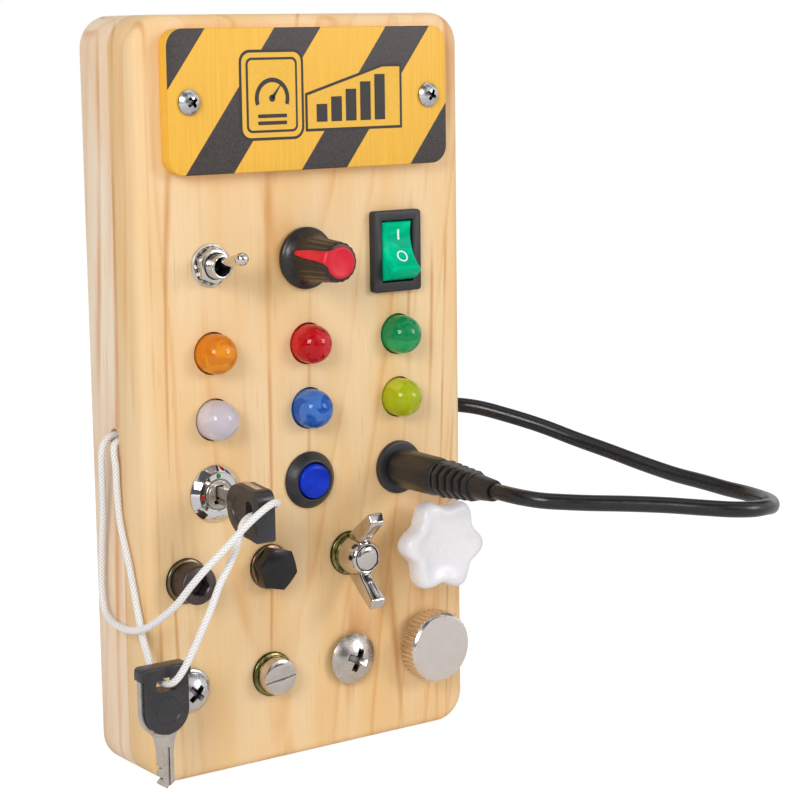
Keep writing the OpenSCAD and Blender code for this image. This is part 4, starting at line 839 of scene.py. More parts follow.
    def cut(self, tool: "Blank", how: Cut = Cut.AWAY) -> "Blank":
        """Cuts this workpiece with another one.

        Args:
            tool: The other workpiece, which is used up.
            how: What is kept.

        Returns:
            This workpiece.
        """
        objects = []
        for blank in (self, tool):
            mesh = bpy.data.meshes.new("cutting")
            blank.bm.to_mesh(mesh)
            blank.bm.free()
            objects.append(stand_in_scene("cutting", mesh))
        body, cutter = objects
        modifier = body.modifiers.new("cut", "BOOLEAN")
        modifier.operation, modifier.object, modifier.solver = how.value, cutter, "EXACT"
        modifier.use_self = True
        graph = bpy.context.evaluated_depsgraph_get()
        result = bpy.data.meshes.new_from_object(body.evaluated_get(graph))
        self.bm = bmesh.new()
        self.bm.from_mesh(result)
        bpy.data.meshes.remove(result)
        for o in objects:
            mesh = o.data
            bpy.data.objects.remove(o)
            bpy.data.meshes.remove(mesh)
        bmesh.ops.remove_doubles(self.bm, verts=self.bm.verts[:], dist=1e-4)
        return self


def stand_in_scene(name: str, data: bpy.types.ID) -> bpy.types.Object:
    """Puts a new object in the scene.

    Args:
        name: Its name.
        data: Its mesh, lamp or camera.

    Returns:
        The object.
    """
    made = bpy.data.objects.new(name, data)
    bpy.context.scene.collection.objects.link(made)
    return made


def on_face(x: float, z: float) -> Matrix:
    """The place of a point of the front, with the outward direction as local Z and up as local Y."""
    return Matrix.Translation((x, FRONT_Y, z)) @ Matrix.Rotation(math.pi / 2, 4, "X")


def on_back(x: float, z: float) -> Matrix:
    """The place of a point of the back, with the outward direction as local Z and down as local Y."""
    return Matrix.Translation((x, BACK_Y, z)) @ Matrix.Rotation(-math.pi / 2, 4, "X")


def make(name: str, blank: Blank, at: Matrix, finish: Finish, body: str = "root", stands_for: Sequence[str] = (),
         sharp: float = 35.0) -> bpy.types.Object:
    """Turns a workpiece into a piece of the board.

    Args:
        name: The piece's name.
        blank: Its shape, which is used up.
        at: Where it goes, in millimetres.
        finish: What it is made of.
        body: The body that it rides on.
        stands_for: CAD nodes that it replaces.
        sharp: Edges over this angle stay sharp in the shading, in degrees.

    Returns:
        The new object.
    """
    blank.put(Matrix.Scale(MM, 4) @ at)
    mesh = bpy.data.meshes.new(name)
    blank.bm.to_mesh(mesh)
    blank.bm.free()
    mesh.shade_smooth()
    mesh.set_sharp_from_angle(angle=math.radians(sharp))
    mesh.materials.append(finish.material)
    piece = stand_in_scene(name, mesh)
    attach(piece, body)
    if stands_for:
        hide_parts(*stands_for)
    log.info("%s: %d faces", name, len(mesh.polygons))
    return piece


def dress(finish: Finish, *nodes: str) -> None:
    """Gives CAD nodes a finish.

    Args:
        finish: What they are made of.
        *nodes: Their names.
    """
    for node in nodes:
        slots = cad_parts[node].data.materials
        slots.clear()
        slots.append(finish.material)
        log.info("%s: dressed as %s", node, finish.name)


# ---------- camera, light and floor ----------


@dataclass
class Studio:
    """The camera at its place in front of the board, soft lamps and a pale floor."""

    yaw: float = 35.539
    pitch: float = 9.306
    roll: float = -0.735
    place: Point3 = (-309.68, -486.54, 185.25)
    focal_px: float = 2247.45
    frame_px: float = 800.0
    sensor_mm: float = 36.0
    sky: float = 0.45
    floor_white: float = 1.36
    floor_lift: float = 0.63
    look_at: Point3 = (0, 0, 0.1)

    def camera(self) -> None:
        """Makes the camera and turns it by yaw, pitch and roll."""
        data = bpy.data.cameras.new("camera")
        data.sensor_width = self.sensor_mm
        data.lens = self.focal_px * self.sensor_mm / self.frame_px
        data.clip_start, data.clip_end = 0.01, 20.0
        eye = stand_in_scene("camera", data)
        yaw, pitch, roll = (math.radians(a) for a in (self.yaw, self.pitch, self.roll))
        ahead = Vector((math.sin(yaw) * math.cos(pitch), math.cos(yaw) * math.cos(pitch), -math.sin(pitch)))
        right = Vector((math.cos(yaw), -math.sin(yaw), 0.0))
        up = right.cross(ahead)
        tilted_right = math.cos(roll) * right + math.sin(roll) * up
        tilted_up = -math.sin(roll) * right + math.cos(roll) * up
        turn = Matrix((tilted_right, tilted_up, -ahead)).transposed().to_4x4()
        eye.matrix_world = Matrix.Translation(Vector(self.place) * MM) @ turn
        bpy.context.scene.camera = eye

    def lamp(self, name: str, place: Point3, size: float, power: float) -> None:
        """Adds a square soft lamp that looks at the middle of the board.

        Args:
            name: Its name.
            place: Where it stands, in metres.
            size: Its side, in metres.
            power: Its power in watts.
        """
        data = bpy.data.lights.new(name, "AREA")
        data.size, data.energy = size, power
        lamp = stand_in_scene(name, data)
        lamp.location = place
        lamp.rotation_euler = (Vector(self.look_at) - Vector(place)).to_track_quat("-Z", "Y").to_euler()

    def world(self) -> None:
        """A sky that is white to the camera, has dark flags for gloss to mirror, and is dimmer where it lights."""
        world = bpy.data.worlds.new("studio")
        tree = bare_tree(world)
        rays = add(tree, "LightPath")
        seen = add(tree, "Math", {0: rays.outputs["Is Camera Ray"], 1: rays.outputs["Is Transmission Ray"]},
                   operation="MAXIMUM")
        way = add(tree, "TexCoord")
        flags = add(tree, "TexNoise", {"Vector": way.outputs["Generated"], "Scale": 1.5, "Detail": 0.0})
        gap = add(tree, "MapRange", {0: flags, 1: 0.42, 2: 0.52, 3: 0.12, 4: 0.92})
        glossy = add(tree, "Math", {0: rays.outputs["Is Glossy Ray"], 1: gap}, operation="MULTIPLY")
        most = add(tree, "Math", {0: seen, 1: glossy}, operation="MAXIMUM")
        lit = add(tree, "Math", {0: rays.outputs["Is Diffuse Ray"], 1: self.sky}, operation="MULTIPLY")
        strength = add(tree, "Math", {0: most, 1: lit}, operation="MAXIMUM")
        shine = add(tree, "Background", {"Color": (1, 1, 1, 1), "Strength": strength})
        add(tree, "OutputWorld", {"Surface": shine})
        bpy.context.scene.world = world

    def floor(self) -> None:
        """A wide pale floor that keeps the shadow."""
        blank = Blank().box((4000, 4000, 10), (0, 0, -5.05))
        mesh = bpy.data.meshes.new("floor")
        blank.put(Matrix.Scale(MM, 4)).bm.to_mesh(mesh)
        blank.bm.free()
        made = bpy.data.materials.new("pale_studio_floor")
        tree = bare_tree(made)
        rays = add(tree, "LightPath")
        coords = add(tree, "TexCoord")
        speck = add(tree, "TexNoise", {"Vector": coords.outputs["Object"], "Scale": 3.0})
        tone = ramp(add(tree, "ValToRGB", {0: speck}), [(0.4, "#F2F2F2"), (0.6, "#F4F4F4")])
        paper = add(tree, "BsdfDiffuse", {"Color": tone.outputs[0]})
        white = add(tree, "Emission", {"Color": (1, 1, 1, 1), "Strength": self.floor_white})
        lift = add(tree, "Math", {0: rays.outputs["Is Camera Ray"], 1: self.floor_lift}, operation="MULTIPLY")
        mixed = add(tree, "MixShader", {0: lift, 1: paper, 2: white})
        add(tree, "OutputMaterial", {"Surface": mixed})
        mesh.materials.append(made)
        stand_in_scene("floor", mesh)

    def build(self) -> None:
        """Sets up the whole studio."""
        bpy.context.scene.view_settings.view_transform = "Standard"
        self.camera()
        self.world()
        self.floor()
        self.lamp("key", (-1.2, -0.9, 0.75), 0.6, 12.2)
        self.lamp("fill", (0.8, -1.05, 0.5), 0.5, 4.8)
        self.lamp("top", (0.1, -0.1, 1.5), 0.8, 1.7)


# ---------- cords ----------


def spline(points: Sequence[Point3], step: float) -> list[Vector]:
    """Smooth points through a route.

    Args:
        points: The route in millimetres.
        step: About how far apart the new points are.

    Returns:
        The points of a Catmull-Rom curve, at even steps.
    """
    route = [Vector(p) for p in points]
    fine: list[Vector] = []
    for i in range(len(route) - 1):
        a, b, c, d = (route[max(0, min(len(route) - 1, k))] for k in (i - 1, i, i + 1, i + 2))
        for k in range(24):
            s = k / 24
            fine.append(0.5 * (2 * b + (c - a) * s + (2 * a - 5 * b + 4 * c - d) * s**2
                               + (3 * b - 3 * c + d - a) * s**3))
    fine.append(route[-1])
    length = sum((q - p).length for p, q in zip(fine, fine[1:]))
    count = max(2, round(length / step))
    even, gone, k = [fine[0]], 0.0, 0
    for i in range(1, count):
        target = length * i / count
        while gone + (fine[k + 1] - fine[k]).length < target:
            gone += (fine[k + 1] - fine[k]).length
            k += 1
        span = (fine[k + 1] - fine[k]).length
        even.append(fine[k].lerp(fine[k + 1], (target - gone) / span))
    return even + [fine[-1]]


@dataclass
class Cord:
    """A round cord along a route, with strands that stand out if it is braided."""

    name: str
    route: Sequence[Point3]
    diameter: float
    finish: Finish
    step: float = 0.5
    sides: int = 20
    strands: int = 0
    lay_mm: float = 0.82
    relief: float = 0.15

    def height(self, around: float, along: float) -> float:
        """How high a braid stands at a place, from 0 in a gap to 1 on a strand.

        Args:
            around: Turn round the cord, from 0 to 1.
            along: Distance along it in millimetres.

        Returns:
            The height.
        """
        if not self.strands:
            return 1.0
        right = around * self.strands + along / self.lay_mm
        left = around * self.strands - along / self.lay_mm
        over = (math.floor(right) + math.floor(left)) % 2 == 0
        across, ahead = (right % 1.0, left % 1.0) if over else (left % 1.0, right % 1.0)
        return math.sin(math.pi * across) ** 0.5 * (0.7 + 0.3 * math.sin(math.pi * ahead))

    def mesh(self) -> tuple[bpy.types.Mesh, list[Vector]]:
        """Makes the tube, with rings that don't twist.

        Returns:
            The mesh in metres and the points down its middle in millimetres.
        """
        line = spline(self.route, self.step)
        bm = bmesh.new()
        strand = bm.verts.layers.float.new("strand")
        wrap = bm.loops.layers.uv.new("UVMap")
        side = Vector((0, 0.3, 1))
        rings = []
        for i, p in enumerate(line):
            ahead = (line[min(i + 1, len(line) - 1)] - line[max(i - 1, 0)]).normalized()
            side = (side - side.dot(ahead) * ahead).normalized()
            other = ahead.cross(side)
            ring = []
            for j in range(self.sides):
                around = j / self.sides
                high = self.height(around, i * self.step)
                radius = self.diameter / 2 - self.relief * (1 - high)
                a = TAU * around
                v = bm.verts.new((p + radius * (math.cos(a) * side + math.sin(a) * other)) * MM)
                v[strand] = high
                ring.append(v)
            rings.append(ring)
        for i, (low, high_ring) in enumerate(zip(rings, rings[1:])):
            for j in range(self.sides):
                k = (j + 1) % self.sides
                face = bm.faces.new((low[j], low[k], high_ring[k], high_ring[j]))
                spots = ((j, i), (j + 1, i), (j + 1, i + 1), (j, i + 1))
                for loop, (u, v) in zip(face.loops, spots):
                    loop[wrap].uv = (u / self.sides, v * self.step / self.lay_mm)
        bm.faces.new(list(reversed(rings[0])))
        bm.faces.new(rings[-1])
        mesh = bpy.data.meshes.new(self.name)
        bm.to_mesh(mesh)
        bm.free()
        mesh.shade_smooth()
        mesh.materials.append(self.finish.material)
        return mesh, line

    def build(self) -> tuple[bpy.types.Object, list[Point3], float]:
        """Makes the piece.

        Returns:
            The object, the points down its middle in metres and its length in metres.
        """
        mesh, line = self.mesh()
        piece = stand_in_scene(self.name, mesh)
        path = [tuple(p * MM) for p in line]
        length = sum((q - p).length for p, q in zip(line, line[1:])) * MM
        log.info("%s: %.3f m, %d faces", self.name, length, len(mesh.polygons))
        return piece, path, length


CABLE_ROUTE = [
    (37.3, 1.5, 84.5), (43.8, 1.5, 84.5), (50.3, 1.3, 84.5), (55.3, -1, 84.3), (60.3, -5.5, 83.5),
    (65.8, -12, 81.5), (71.3, -19.5, 79), (76.3, -28, 76), (80.3, -37.5, 73.5), (83.6, -46.5, 71.2),
    (87, -55, 69.2), (89.9, -63, 68), (92, -69.5, 67), (93.3, -76, 66.5), (92, -83, 66.5),
    (88.7, -89, 67), (84, -94, 67.5), (78.8, -97.5, 68.5), (72.8, -99, 69), (66.8, -97.5, 69.5),
    (61.3, -93.5, 70), (54.8, -87.5, 70.5), (47.8, -81.5, 70.8), (40.8, -76, 71), (35.3, -72.5, 71.4),
    (30.8, -69, 71.8), (28.1, -64.5, 72.2), (27.15, -59.5, 72.4), (27.15, -54.9, 72.4),
]
STRING_ROUTE = [
    (-38, 1.85, 87.4), (-44, 1.85, 87.4), (-47.6, 1.8, 87.4), (-50.2, 1.3, 86.9), (-52, 0.6, 85.2),
    (-52.6, 0.5, 82.4), (-52, 1.7, 76.4), (-51, 3.6, 68.4), (-50.6, 5.5, 59.3), (-50.4, 6.7, 51),
    (-50.6, 6.3, 45.6), (-51.2, 3.6, 42.1), (-52.2, -1.4, 41), (-53, -7, 40.9), (-53.4, -12.5, 41.3),
    (-53, -18.5, 42.7), (-52, -24.5, 46), (-50.6, -31, 51), (-48.9, -35.86, 56.58), (-45.5, -38.49, 61.45),
    (-42.2, -39.21, 64.43), (-38.4, -39.45, 67.61), (-34.8, -39.7, 70.5), (-31.2, -39.9, 72.9),
    (-28.1, -39.2, 74), (-25.4, -37.1, 73.5), (-24.3, -34.3, 72.3), (-25, -32.7, 70.9), (-27, -32.6, 70.3),
    (-30.4, -32.6, 70), (-32.8, -33, 68.5), (-34.1, -33.6, 65.7), (-36, -34.85, 63.11), (-38.7, -36.27, 60.02),
    (-41.8, -36.85, 55.95), (-44.4, -36.18, 49.48), (-46.6, -35.2, 44.2), (-49.4, -33, 36.6),
    (-51.5, -31, 32.4), (-52.4, -28, 31.2), (-52.4, -24.8, 31.4), (-52.7, -22, 33.2), (-52.4, -19.4, 36.2),
    (-51.2, -14.6, 40.4), (-50.2, -11.4, 44), (-49.7, -7.1, 54.7), (-49.7, -2.8, 65.8), (-49.7, -1.6, 74.1),
    (-49.9, -1.7, 80), (-50.2, -1.6, 83), (-49.6, -0.9, 85.4), (-47.4, 0, 86.2), (-44, 0.15, 86.2),
    (-38, 0.15, 86.2),
]


@dataclass
class Cords:
    """The black cable of the plug and the white string of the keys."""

    cable_d: float = 4.0
    string_d: float = 1.8

    def cable(self) -> None:
        """Sheathed cable from the plug at its end, one fixed tube along its route."""
        piece, path, length = Cord("cable_sheath", CABLE_ROUTE, self.cable_d, Stock.CABLE, step=0.6, sides=36).build()
        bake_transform(piece)
        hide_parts("cable")

    def string(self) -> None:
        """Braided string from the key in the lock, one fixed tube along its route."""
        cord = Cord("braided_string", STRING_ROUTE, self.string_d, Stock.STRING, step=0.18, sides=42, strands=6,
                    lay_mm=1.08)
        piece, path, length = cord.build()
        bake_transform(piece)
        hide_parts("string")

    def knot(self) -> None:
        """The knot that holds the string inside the block."""
        knot = Blank()
        for turn, tilt in ((0, 20), (70, -35), (130, 60)):
            ring = Blank().lathe([(1.7 + 0.9 * math.cos(math.radians(a)), 0.9 * math.sin(math.radians(a)))
                                  for a in range(0, 360, 30)], 24)
            knot.join(ring.turn(tilt, "X").turn(turn, "Z"))
        make("string_knot", knot, Matrix.Translation((-37.25, 1.0, 86.8)), Stock.STRING)

    def build(self) -> None:
        """Makes both cords and the knot."""
        self.cable()
        self.string()
        self.knot()


# ---------- block and sign ----------


@dataclass
class Block:
    """The two glued pine layers with their holes."""

    width: float = 97.0
    height: float = 190.0
    corner: float = 8.0
    front_t: float = 12.0
    back_t: float = 15.0
    front_round: float = 2.6
    back_round: float = 1.5
    seam_round: float = 0.28
    bay: Point2 = (80, 82.5)
    bay_z: float = 104.75
    cable_z: float = 84.5
    string_z: float = 86.8
    lamp_d: float = 10.7
    insert_d: float = 8.5

    def layer(self, low: float, high: float) -> Blank:
        """A rounded slab with its middle at the middle of the block's height."""
        return Blank().prism(rounded(self.width, self.height, self.corner, 12), low, high)

    def front(self) -> None:
        """The front layer, bored for everything that it carries."""
        slab = self.layer(-self.front_t, 0).ease(self.front_round, 6, 60, lambda m: m.z > -0.1)
        slab.ease(self.seam_round, 2, 60, lambda m: m.z < 0.1 - self.front_t)
        middle = self.height / 2
        tool = Blank().box((*self.bay, 20), (0, self.bay_z - middle, -self.front_t - 6))
        for x in LAMP_COLUMNS:
            for z in LAMP_ROWS:
                tool.join(Blank().rod(self.lamp_d, -5, 1, 48).shift(x, z - middle))
        for (x, z), bore in ((TOGGLE_AT, 6.2), (KNOB_AT, 7.1), (LOCK_AT, 12.1), (BUTTON_AT, 11.9), (JACK_AT, 11.9)):
            tool.join(Blank().rod(bore, -5, 1, 48).shift(x, z - middle))
        for x in SCREW_COLUMNS:
            for z in SCREW_ROWS:
                tool.join(Blank().rod(self.insert_d, -13, 1, 32).shift(x, z - middle))
        tool.box((12.9, 18.7, 8), (ROCKER_AT[0], ROCKER_AT[1] - middle, -3))
        slab.cut(tool)
        make("pine_front_layer", slab, on_face(0, middle), Stock.FRONT_PINE, stands_for=["front_panel"])

    def back(self) -> None:
        """The back layer, with the battery bay and the holes of the string and the cable."""
        slab = self.layer(-self.back_t, 0).ease(self.back_round, 5, 60, lambda m: m.z > -0.1)
        slab.ease(self.seam_round, 2, 60, lambda m: m.z < 0.1 - self.back_t)
        middle = self.height / 2
        tool = Blank().box((*self.bay, 14), (0, middle - self.bay_z, -self.back_t + 5))
        tool.box((36.7, 50.7, 20), (0, middle - 31.25, -8))
        tool.join(Blank().prism(rounded(43.1, 58.1, 3.0), -2.0, 1).shift(0, middle - LID_Z, 0))
        tool.join(Blank().rod(3.1, -13, 0).shift(0, middle - LID_SCREW_Z, 0))
        side = Matrix.Rotation(math.pi / 2, 4, "Y")
        tool.join(Blank().rod(4.4, 20, 60).put(side).shift(0, middle - self.cable_z, -12))
        tool.join(Blank().rod(4.59, -60, -20).put(side).shift(0, middle - self.string_z, -12.5))
        for x, z in LAYER_SCREWS:
            tool.join(self.countersink(0.05).shift(x, middle - z, 0))
        slab.cut(tool)
        make("pine_back_layer", slab, on_back(0, middle), Stock.BACK_PINE, stands_for=["back_panel"])

    @staticmethod
    def countersink(gap: float) -> Blank:
        """The shape of a countersunk wood screw, grown by a gap, with its top at the origin."""
        return Blank().lathe([(0, -23), (0.3, -23), (1.5 + gap, -20), (1.5 + gap, -1.13), (2.63 + gap, 0),
                              (2.63 + gap, gap), (0, gap)], 40)

    def screws(self) -> None:
        """The six wood screws in the back, flush with it."""
        rows = Blank()
        middle = self.height / 2
        for x, z in LAYER_SCREWS:
            screw = self.countersink(0).cut(cross_tool(3.1, 1.0, 0, 1.2).turn(13 * z + x))
            rows.join(screw.shift(x, middle - z, 0))
        make("layer_screws", rows, on_back(0, middle), Stock.ZINC, stands_for=["panel_screws"])

    def build(self) -> None:
        """Makes the block."""
        self.front()
        self.back()
        self.screws()


def cross_tool(length: float, width: float, top: float, depth: float) -> Blank:
    """A driver's cross, narrowing with depth, to cut a recess with.

    Args:
        length: Across the cross.
        width: Of a blade.
        top: Height of the recess's mouth.
        depth: Of the recess.

    Returns:
        The workpiece to cut with.
    """
    tool = Blank()
    for turn in (0, 90):
        blade = Blank().box((length, width, depth + 0.5), (0, 0, top - depth / 2 + 0.25))
        low = [v for v in blade.bm.verts if v.co.z < top - depth / 2]
        bmesh.ops.scale(blade.bm, vec=(0.5, 0.7, 1), verts=low)
        tool.join(blade.turn(turn + 45))
    return tool


@dataclass
class Sign:
    """The striped board with its two screws and a plain printed tag."""

    width: float = 82.5
    height: float = 35.0
    thick: float = 4.0
    corner: float = 4.5
    middle_z: float = 169.2
    screw_x: float = 35.4

    def plate(self) -> None:
        """The board, with eased edges."""
        plate = Blank().prism(rounded(self.width, self.height, self.corner, 10), 0, self.thick)
        plate.ease(0.35, 3, 60)
        tool = Blank()
        for side in (-1, 1):
            tool.join(Blank().rod(3.1, -1, self.thick + 1).shift(side * self.screw_x))
        plate.cut(tool)
        make("sign_board", plate, on_face(0, self.middle_z), Stock.SIGN, stands_for=["sign_plate"])

    def screws(self) -> None:
        """Two pan heads with crosses."""
        pair = Blank()
        for side in (-1, 1):
            top = self.thick + 2.0
            radius = (3.1**2 + 1.5**2) / 3
            side_wall = [(0, self.thick), (3.0, self.thick), (3.1, self.thick + 0.15), (3.1, self.thick + 0.5)]
            dome = arc((0, top - radius), radius, math.degrees(math.acos(3.1 / radius)), 90, 10)
            head = Blank().lathe(side_wall + dome, 48)
            head.cut(cross_tool(3.7, 1.0, top, 1.3).turn(12 * side + 5))
            pair.join(head.shift(side * self.screw_x))
            pair.join(thread(3.0, 1.1, self.thick - 12, self.thick + 0.3).shift(side * self.screw_x))
        make("sign_pan_screws", pair, on_face(0, self.middle_z), Stock.ZINC, stands_for=["sign_screws"])

    def tag(self) -> None:
        """A plain drawing: a dial in a frame and five rising bars."""
        top = self.thick
        bars = [(4.2 + 4.4 * i, 3.0 + 1.75 * i) for i in range(5)]
        fence = [(-0.8, -6.6), (25.6, -6.6), (25.6, 6.6), (21.2, 6.6), (-0.8, 0.2)]
        dark, light = Blank(), Blank()
        dark.prism(rounded(18.6, 22.0, 3.0), top - 0.1, top + 0.04).shift(-12.0, 1.2)
        light.join(Blank().prism(rounded(17.2, 20.6, 2.4), top - 0.1, top + 0.08).shift(-12.0, 1.2))
        dark.join(Blank().prism(rounded(14.8, 18.2, 1.6), top - 0.1, top + 0.12).shift(-12.0, 1.2))
        light.join(Blank().prism(rounded(13.6, 17.0, 1.1), top - 0.1, top + 0.16).shift(-12.0, 1.2))
        dark.prism(grown(fence, 1.5), top - 0.1, top + 0.04)
        light.prism(grown(fence, 0.8), top - 0.1, top + 0.08)
        for x, high in bars:
            dark.prism([(x - 3.2, -5.8), (x, -5.8), (x, high - 4.4), (x - 3.2, high - 4.4)], top - 0.1, top + 0.12)
        dial = arc((0, 0), 5.0, 200, -20, 24) + arc((0, 0), 3.9, -20, 200, 24)
        dark.join(Blank().prism(dial, top - 0.1, top + 0.2).shift(-12.0, 0.4))
        dark.join(Blank().prism([(-0.5, 0), (0.5, 0), (0.12, 4.0), (-0.12, 4.0)], top - 0.1, top + 0.2)
                  .turn(-38).shift(-12.0, 0.4))
        dark.join(Blank().prism(arc((0, 0), 0.9, 0, 350, 20), top - 0.1, top + 0.2).shift(-12.0, 0.4))
        for low in (-3.9, -5.6):
            dark.join(Blank().prism(rounded(8.4, 0.9, 0.3, 3), top - 0.1, top + 0.2).shift(-12.0, low))
        make("sign_tag_black", dark, on_face(0, self.middle_z), Stock.INK)
        make("sign_tag_yellow", light, on_face(0, self.middle_z), Stock.SIGN_YELLOW)

    def build(self) -> None:
        """Makes the sign."""
        self.plate()
        self.screws()
        self.tag()


def grown(outline: Sequence[Point2], by: float) -> list[Point2]:
    """An outline moved outwards with mitred corners.

    Args:
        outline: Its points, turning left.
        by: How far.

    Returns:
        The new points.
    """
    made = []
    for i, p in enumerate(outline):
        before, after = Vector(outline[i - 1]), Vector(outline[(i + 1) % len(outline)])
        here = Vector(p)
        first, second = (here - before).normalized(), (after - here).normalized()
        normals = Vector((first.y, -first.x)), Vector((second.y, -second.x))
        middle = (normals[0] + normals[1]).normalized()
        moved = here + middle * min(by / max(0.35, middle.dot(normals[0])), 2.2 * by)
        made.append((moved.x, moved.y))
    return made


# ---------- screws ----------


def thread(diameter: float, pitch: float, low: float, high: float) -> Blank:
    """A bar with thread crests along it and a chamfered end.

    Args:
        diameter: Over the crests.
        pitch: From crest to crest.
        low: Height of the chamfered end.
        high: Height of the other end.

    Returns:
        The bar.
    """
    root = diameter / 2 - 0.55 * pitch
    section = [(0.0, low), (root - 0.25, low)]
    z = low + 0.3
    while z + pitch <= high:
        section += [(root, z), (diameter / 2, z + 0.42 * pitch), (diameter / 2, z + 0.58 * pitch)]
        z += pitch
    section += [(root, z), (root, high), (0.0, high)]
    return Blank().lathe(section, 40)


@dataclass
class ScrewRow:
    """The eight M6 screws, each over its washer."""

    washer_t: float = 1.2
    seat_gap: float = 0.02
    shank: float = 10.8
    size: float = 6.0

    def at(self, col: int, row: int) -> Matrix:
        """The place of a screw on the front."""
        return on_face(SCREW_COLUMNS[col], SCREW_ROWS[row])

    def washer(self, name: str, col: int, row: int, finish: Finish) -> None:
        """A punched washer with one eased face.

        Args:
            name: The screw that it lies under.
            col: Its column.
            row: Its row, from below.
            finish: What it is made of.
        """
        t = self.washer_t
        ring = Blank().lathe([(3.2, 0.1), (3.3, 0), (5.6, 0), (5.75, 0.15), (5.78, t - 0.5), (5.66, t - 0.28),
                              (5.4, t - 0.12), (4.9, t), (3.35, t), (3.2, t - 0.12)], 72)
        make(f"{name}_ring", ring, self.at(col, row), finish, f"{name}_lift", [f"{name}_washer"], 50)

    def shaft(self, top: float | None = None) -> Blank:
        """The threaded shank, up to a height inside the head."""
        return thread(self.size, 1.0, -self.shank, self.washer_t + 0.3 if top is None else top)

    def socket(self) -> None:
        """A cap screw with a knurled side and a six-sided socket."""
        top = self.washer_t + 5.8
        low = self.washer_t

        def side(angle: float) -> float:
            """The knurled radius."""
            return 4.93 - 0.07 * abs(math.sin(22 * angle))

        head = Blank().stack([(low, lambda a: 4.6), (low + 0.35, lambda a: 4.85), (low + 0.5, side),
                              (top - 1.2, side), (top - 1.05, lambda a: 4.9), (top - 0.5, lambda a: 4.9),
                              (top - 0.2, lambda a: 4.75), (top, lambda a: 4.45)], 176)
        head.cut(Blank().hexagon(5.0, top - 3, top + 1, 20))
        head.cut(Blank().lathe([(0, top - 0.45), (2.55, top - 0.35), (3.3, top + 0.3), (0, top + 0.3)], 48))
        make("socket_cap_head", head.join(self.shaft()), self.at(0, 1), Stock.CAP_BLACK, "socket",
             ["socket_screw"])

    def hexagon(self) -> None:
        """A hexagon bolt with a chamfered head."""
        top = self.washer_t + 3.9
        head = Blank().hexagon(10, self.washer_t, top, -14.5 + 30)
        head.cut(Blank().lathe([(0, 0), (7, 0), (7, top - 1.05), (4.75, top), (0, top)], 72), Cut.COMMON)
        head.ease(0.22, 3, 28)
        make("hex_bolt_head", head.join(self.shaft()), self.at(1, 1), Stock.BLACK_OXIDE, "hex", ["hex_bolt"])

    def wing(self) -> None:
        """A cast wing screw: a hub with a dished ring, and two ears with a groove down their front edge."""
        low = self.washer_t
        top = low + 7.6
        hub = Blank().lathe([(0, low), (4.7, low), (4.95, low + 0.3), (4.95, low + 2.4), (4.9, low + 3.8),
                             (4.75, top - 2.4), (4.5, top - 1.4), (4.2, top - 0.6), (3.95, top - 0.15),
                             (3.72, top), (3.5, top - 0.08), (3.32, top - 0.5), (3.22, top - 0.5),
                             (3.15, top - 0.1), (2.9, top + 0.1), (2.1, top + 0.3), (1.1, top + 0.4), (0, top + 0.42)],
                            64)
        for turn in (0, 180):
            ear = [(3.0, low + 1.4), (6.0, low + 2.0), (9.0, low + 5.9), (12.75, low + 11.5), (10.0, low + 13.0),
                   (6.4, low + 9.2), (4.6, low + 7.2), (3.0, low + 6.4)]
            wing = Blank().prism(ear, -1.85, 1.85)
            for v in wing.bm.verts:
                v.co.z *= 0.78 + 0.038 * v.co.x
            wing.ease(0.75, 5, 40)
            wing.put(UPRIGHT)
            groove = Blank().rod(1.7, -3.4, 2.4, 24).ease(0.6, 4, 60)
            groove.put(Matrix.Rotation(math.radians(-39), 4, "X")).shift(0, 7.7, low + 11.1)
            wing.cut(groove)
            hub.join(wing.turn(turn))
        make("wing_screw_casting", hub.join(self.shaft()), self.at(2, 1), Stock.CAST, "wing", ["wing_screw"],
             40)

    def star(self) -> None:
        """A six-lobed knob with a dished face over its stud."""
        low = self.washer_t
        z0, z1 = low + 3.0, low + 9.6
        turn = math.radians(55)

        def lobed(inset: float, share: float = 1.0, plain: float = 0.0) -> Callable[[float], float]:
            """A radius with six hollows, blended with a plain one.

            Args:
                inset: How far inside the widest outline.
                share: How much of the lobed radius it takes.
                plain: The radius that it is blended with.

            Returns:
                The radius as a function of the angle.
            """

            def radius(angle: float) -> float:
                """The radius at an angle."""
                hollow = 2.6 * (1 - math.cos(6 * (angle - turn))) / 2
                return share * (12.8 - inset - hollow * (1 - 0.12 * inset)) + (1 - share) * plain

            return radius

        knob = Blank().stack([
            (low, lobed(0, 0, 5.0)), (low + 0.2, lobed(0, 0, 5.2)), (z0 - 0.8, lobed(0, 0, 5.35)),
            (z0 - 0.2, lobed(0, 0.3, 5.6)), (z0 + 0.05, lobed(1.6, 0.85, 6.0)), (z0 + 0.5, lobed(0.8)),
            (z0 + 1.2, lobed(0.25)), (z0 + 2.2, lobed(0.0)), (z1 - 2.6, lobed(0.0)), (z1 - 1.7, lobed(0.12)),
            (z1 - 0.95, lobed(0.5)), (z1 - 0.4, lobed(1.1)), (z1 - 0.1, lobed(1.8)), (z1, lobed(2.5)),
            (z1 - 0.14, lobed(3.3)), (z1 - 0.5, lobed(4.4, 0.9, 6.4)), (z1 - 0.95, lobed(5.6, 0.6, 6.2)),
            (z1 - 1.3, lobed(0, 0, 5.0)), (z1 - 1.5, lobed(0, 0, 3.0)), (z1 - 1.55, lobed(0, 0, 1.0))], 144)
        make("star_grip", knob, self.at(3, 1), Stock.STAR_WHITE, "star", ["star_knob"], 60)
        make("star_thread", self.shaft(6.0), self.at(3, 1), Stock.ZINC, "star", ["star_stud"])

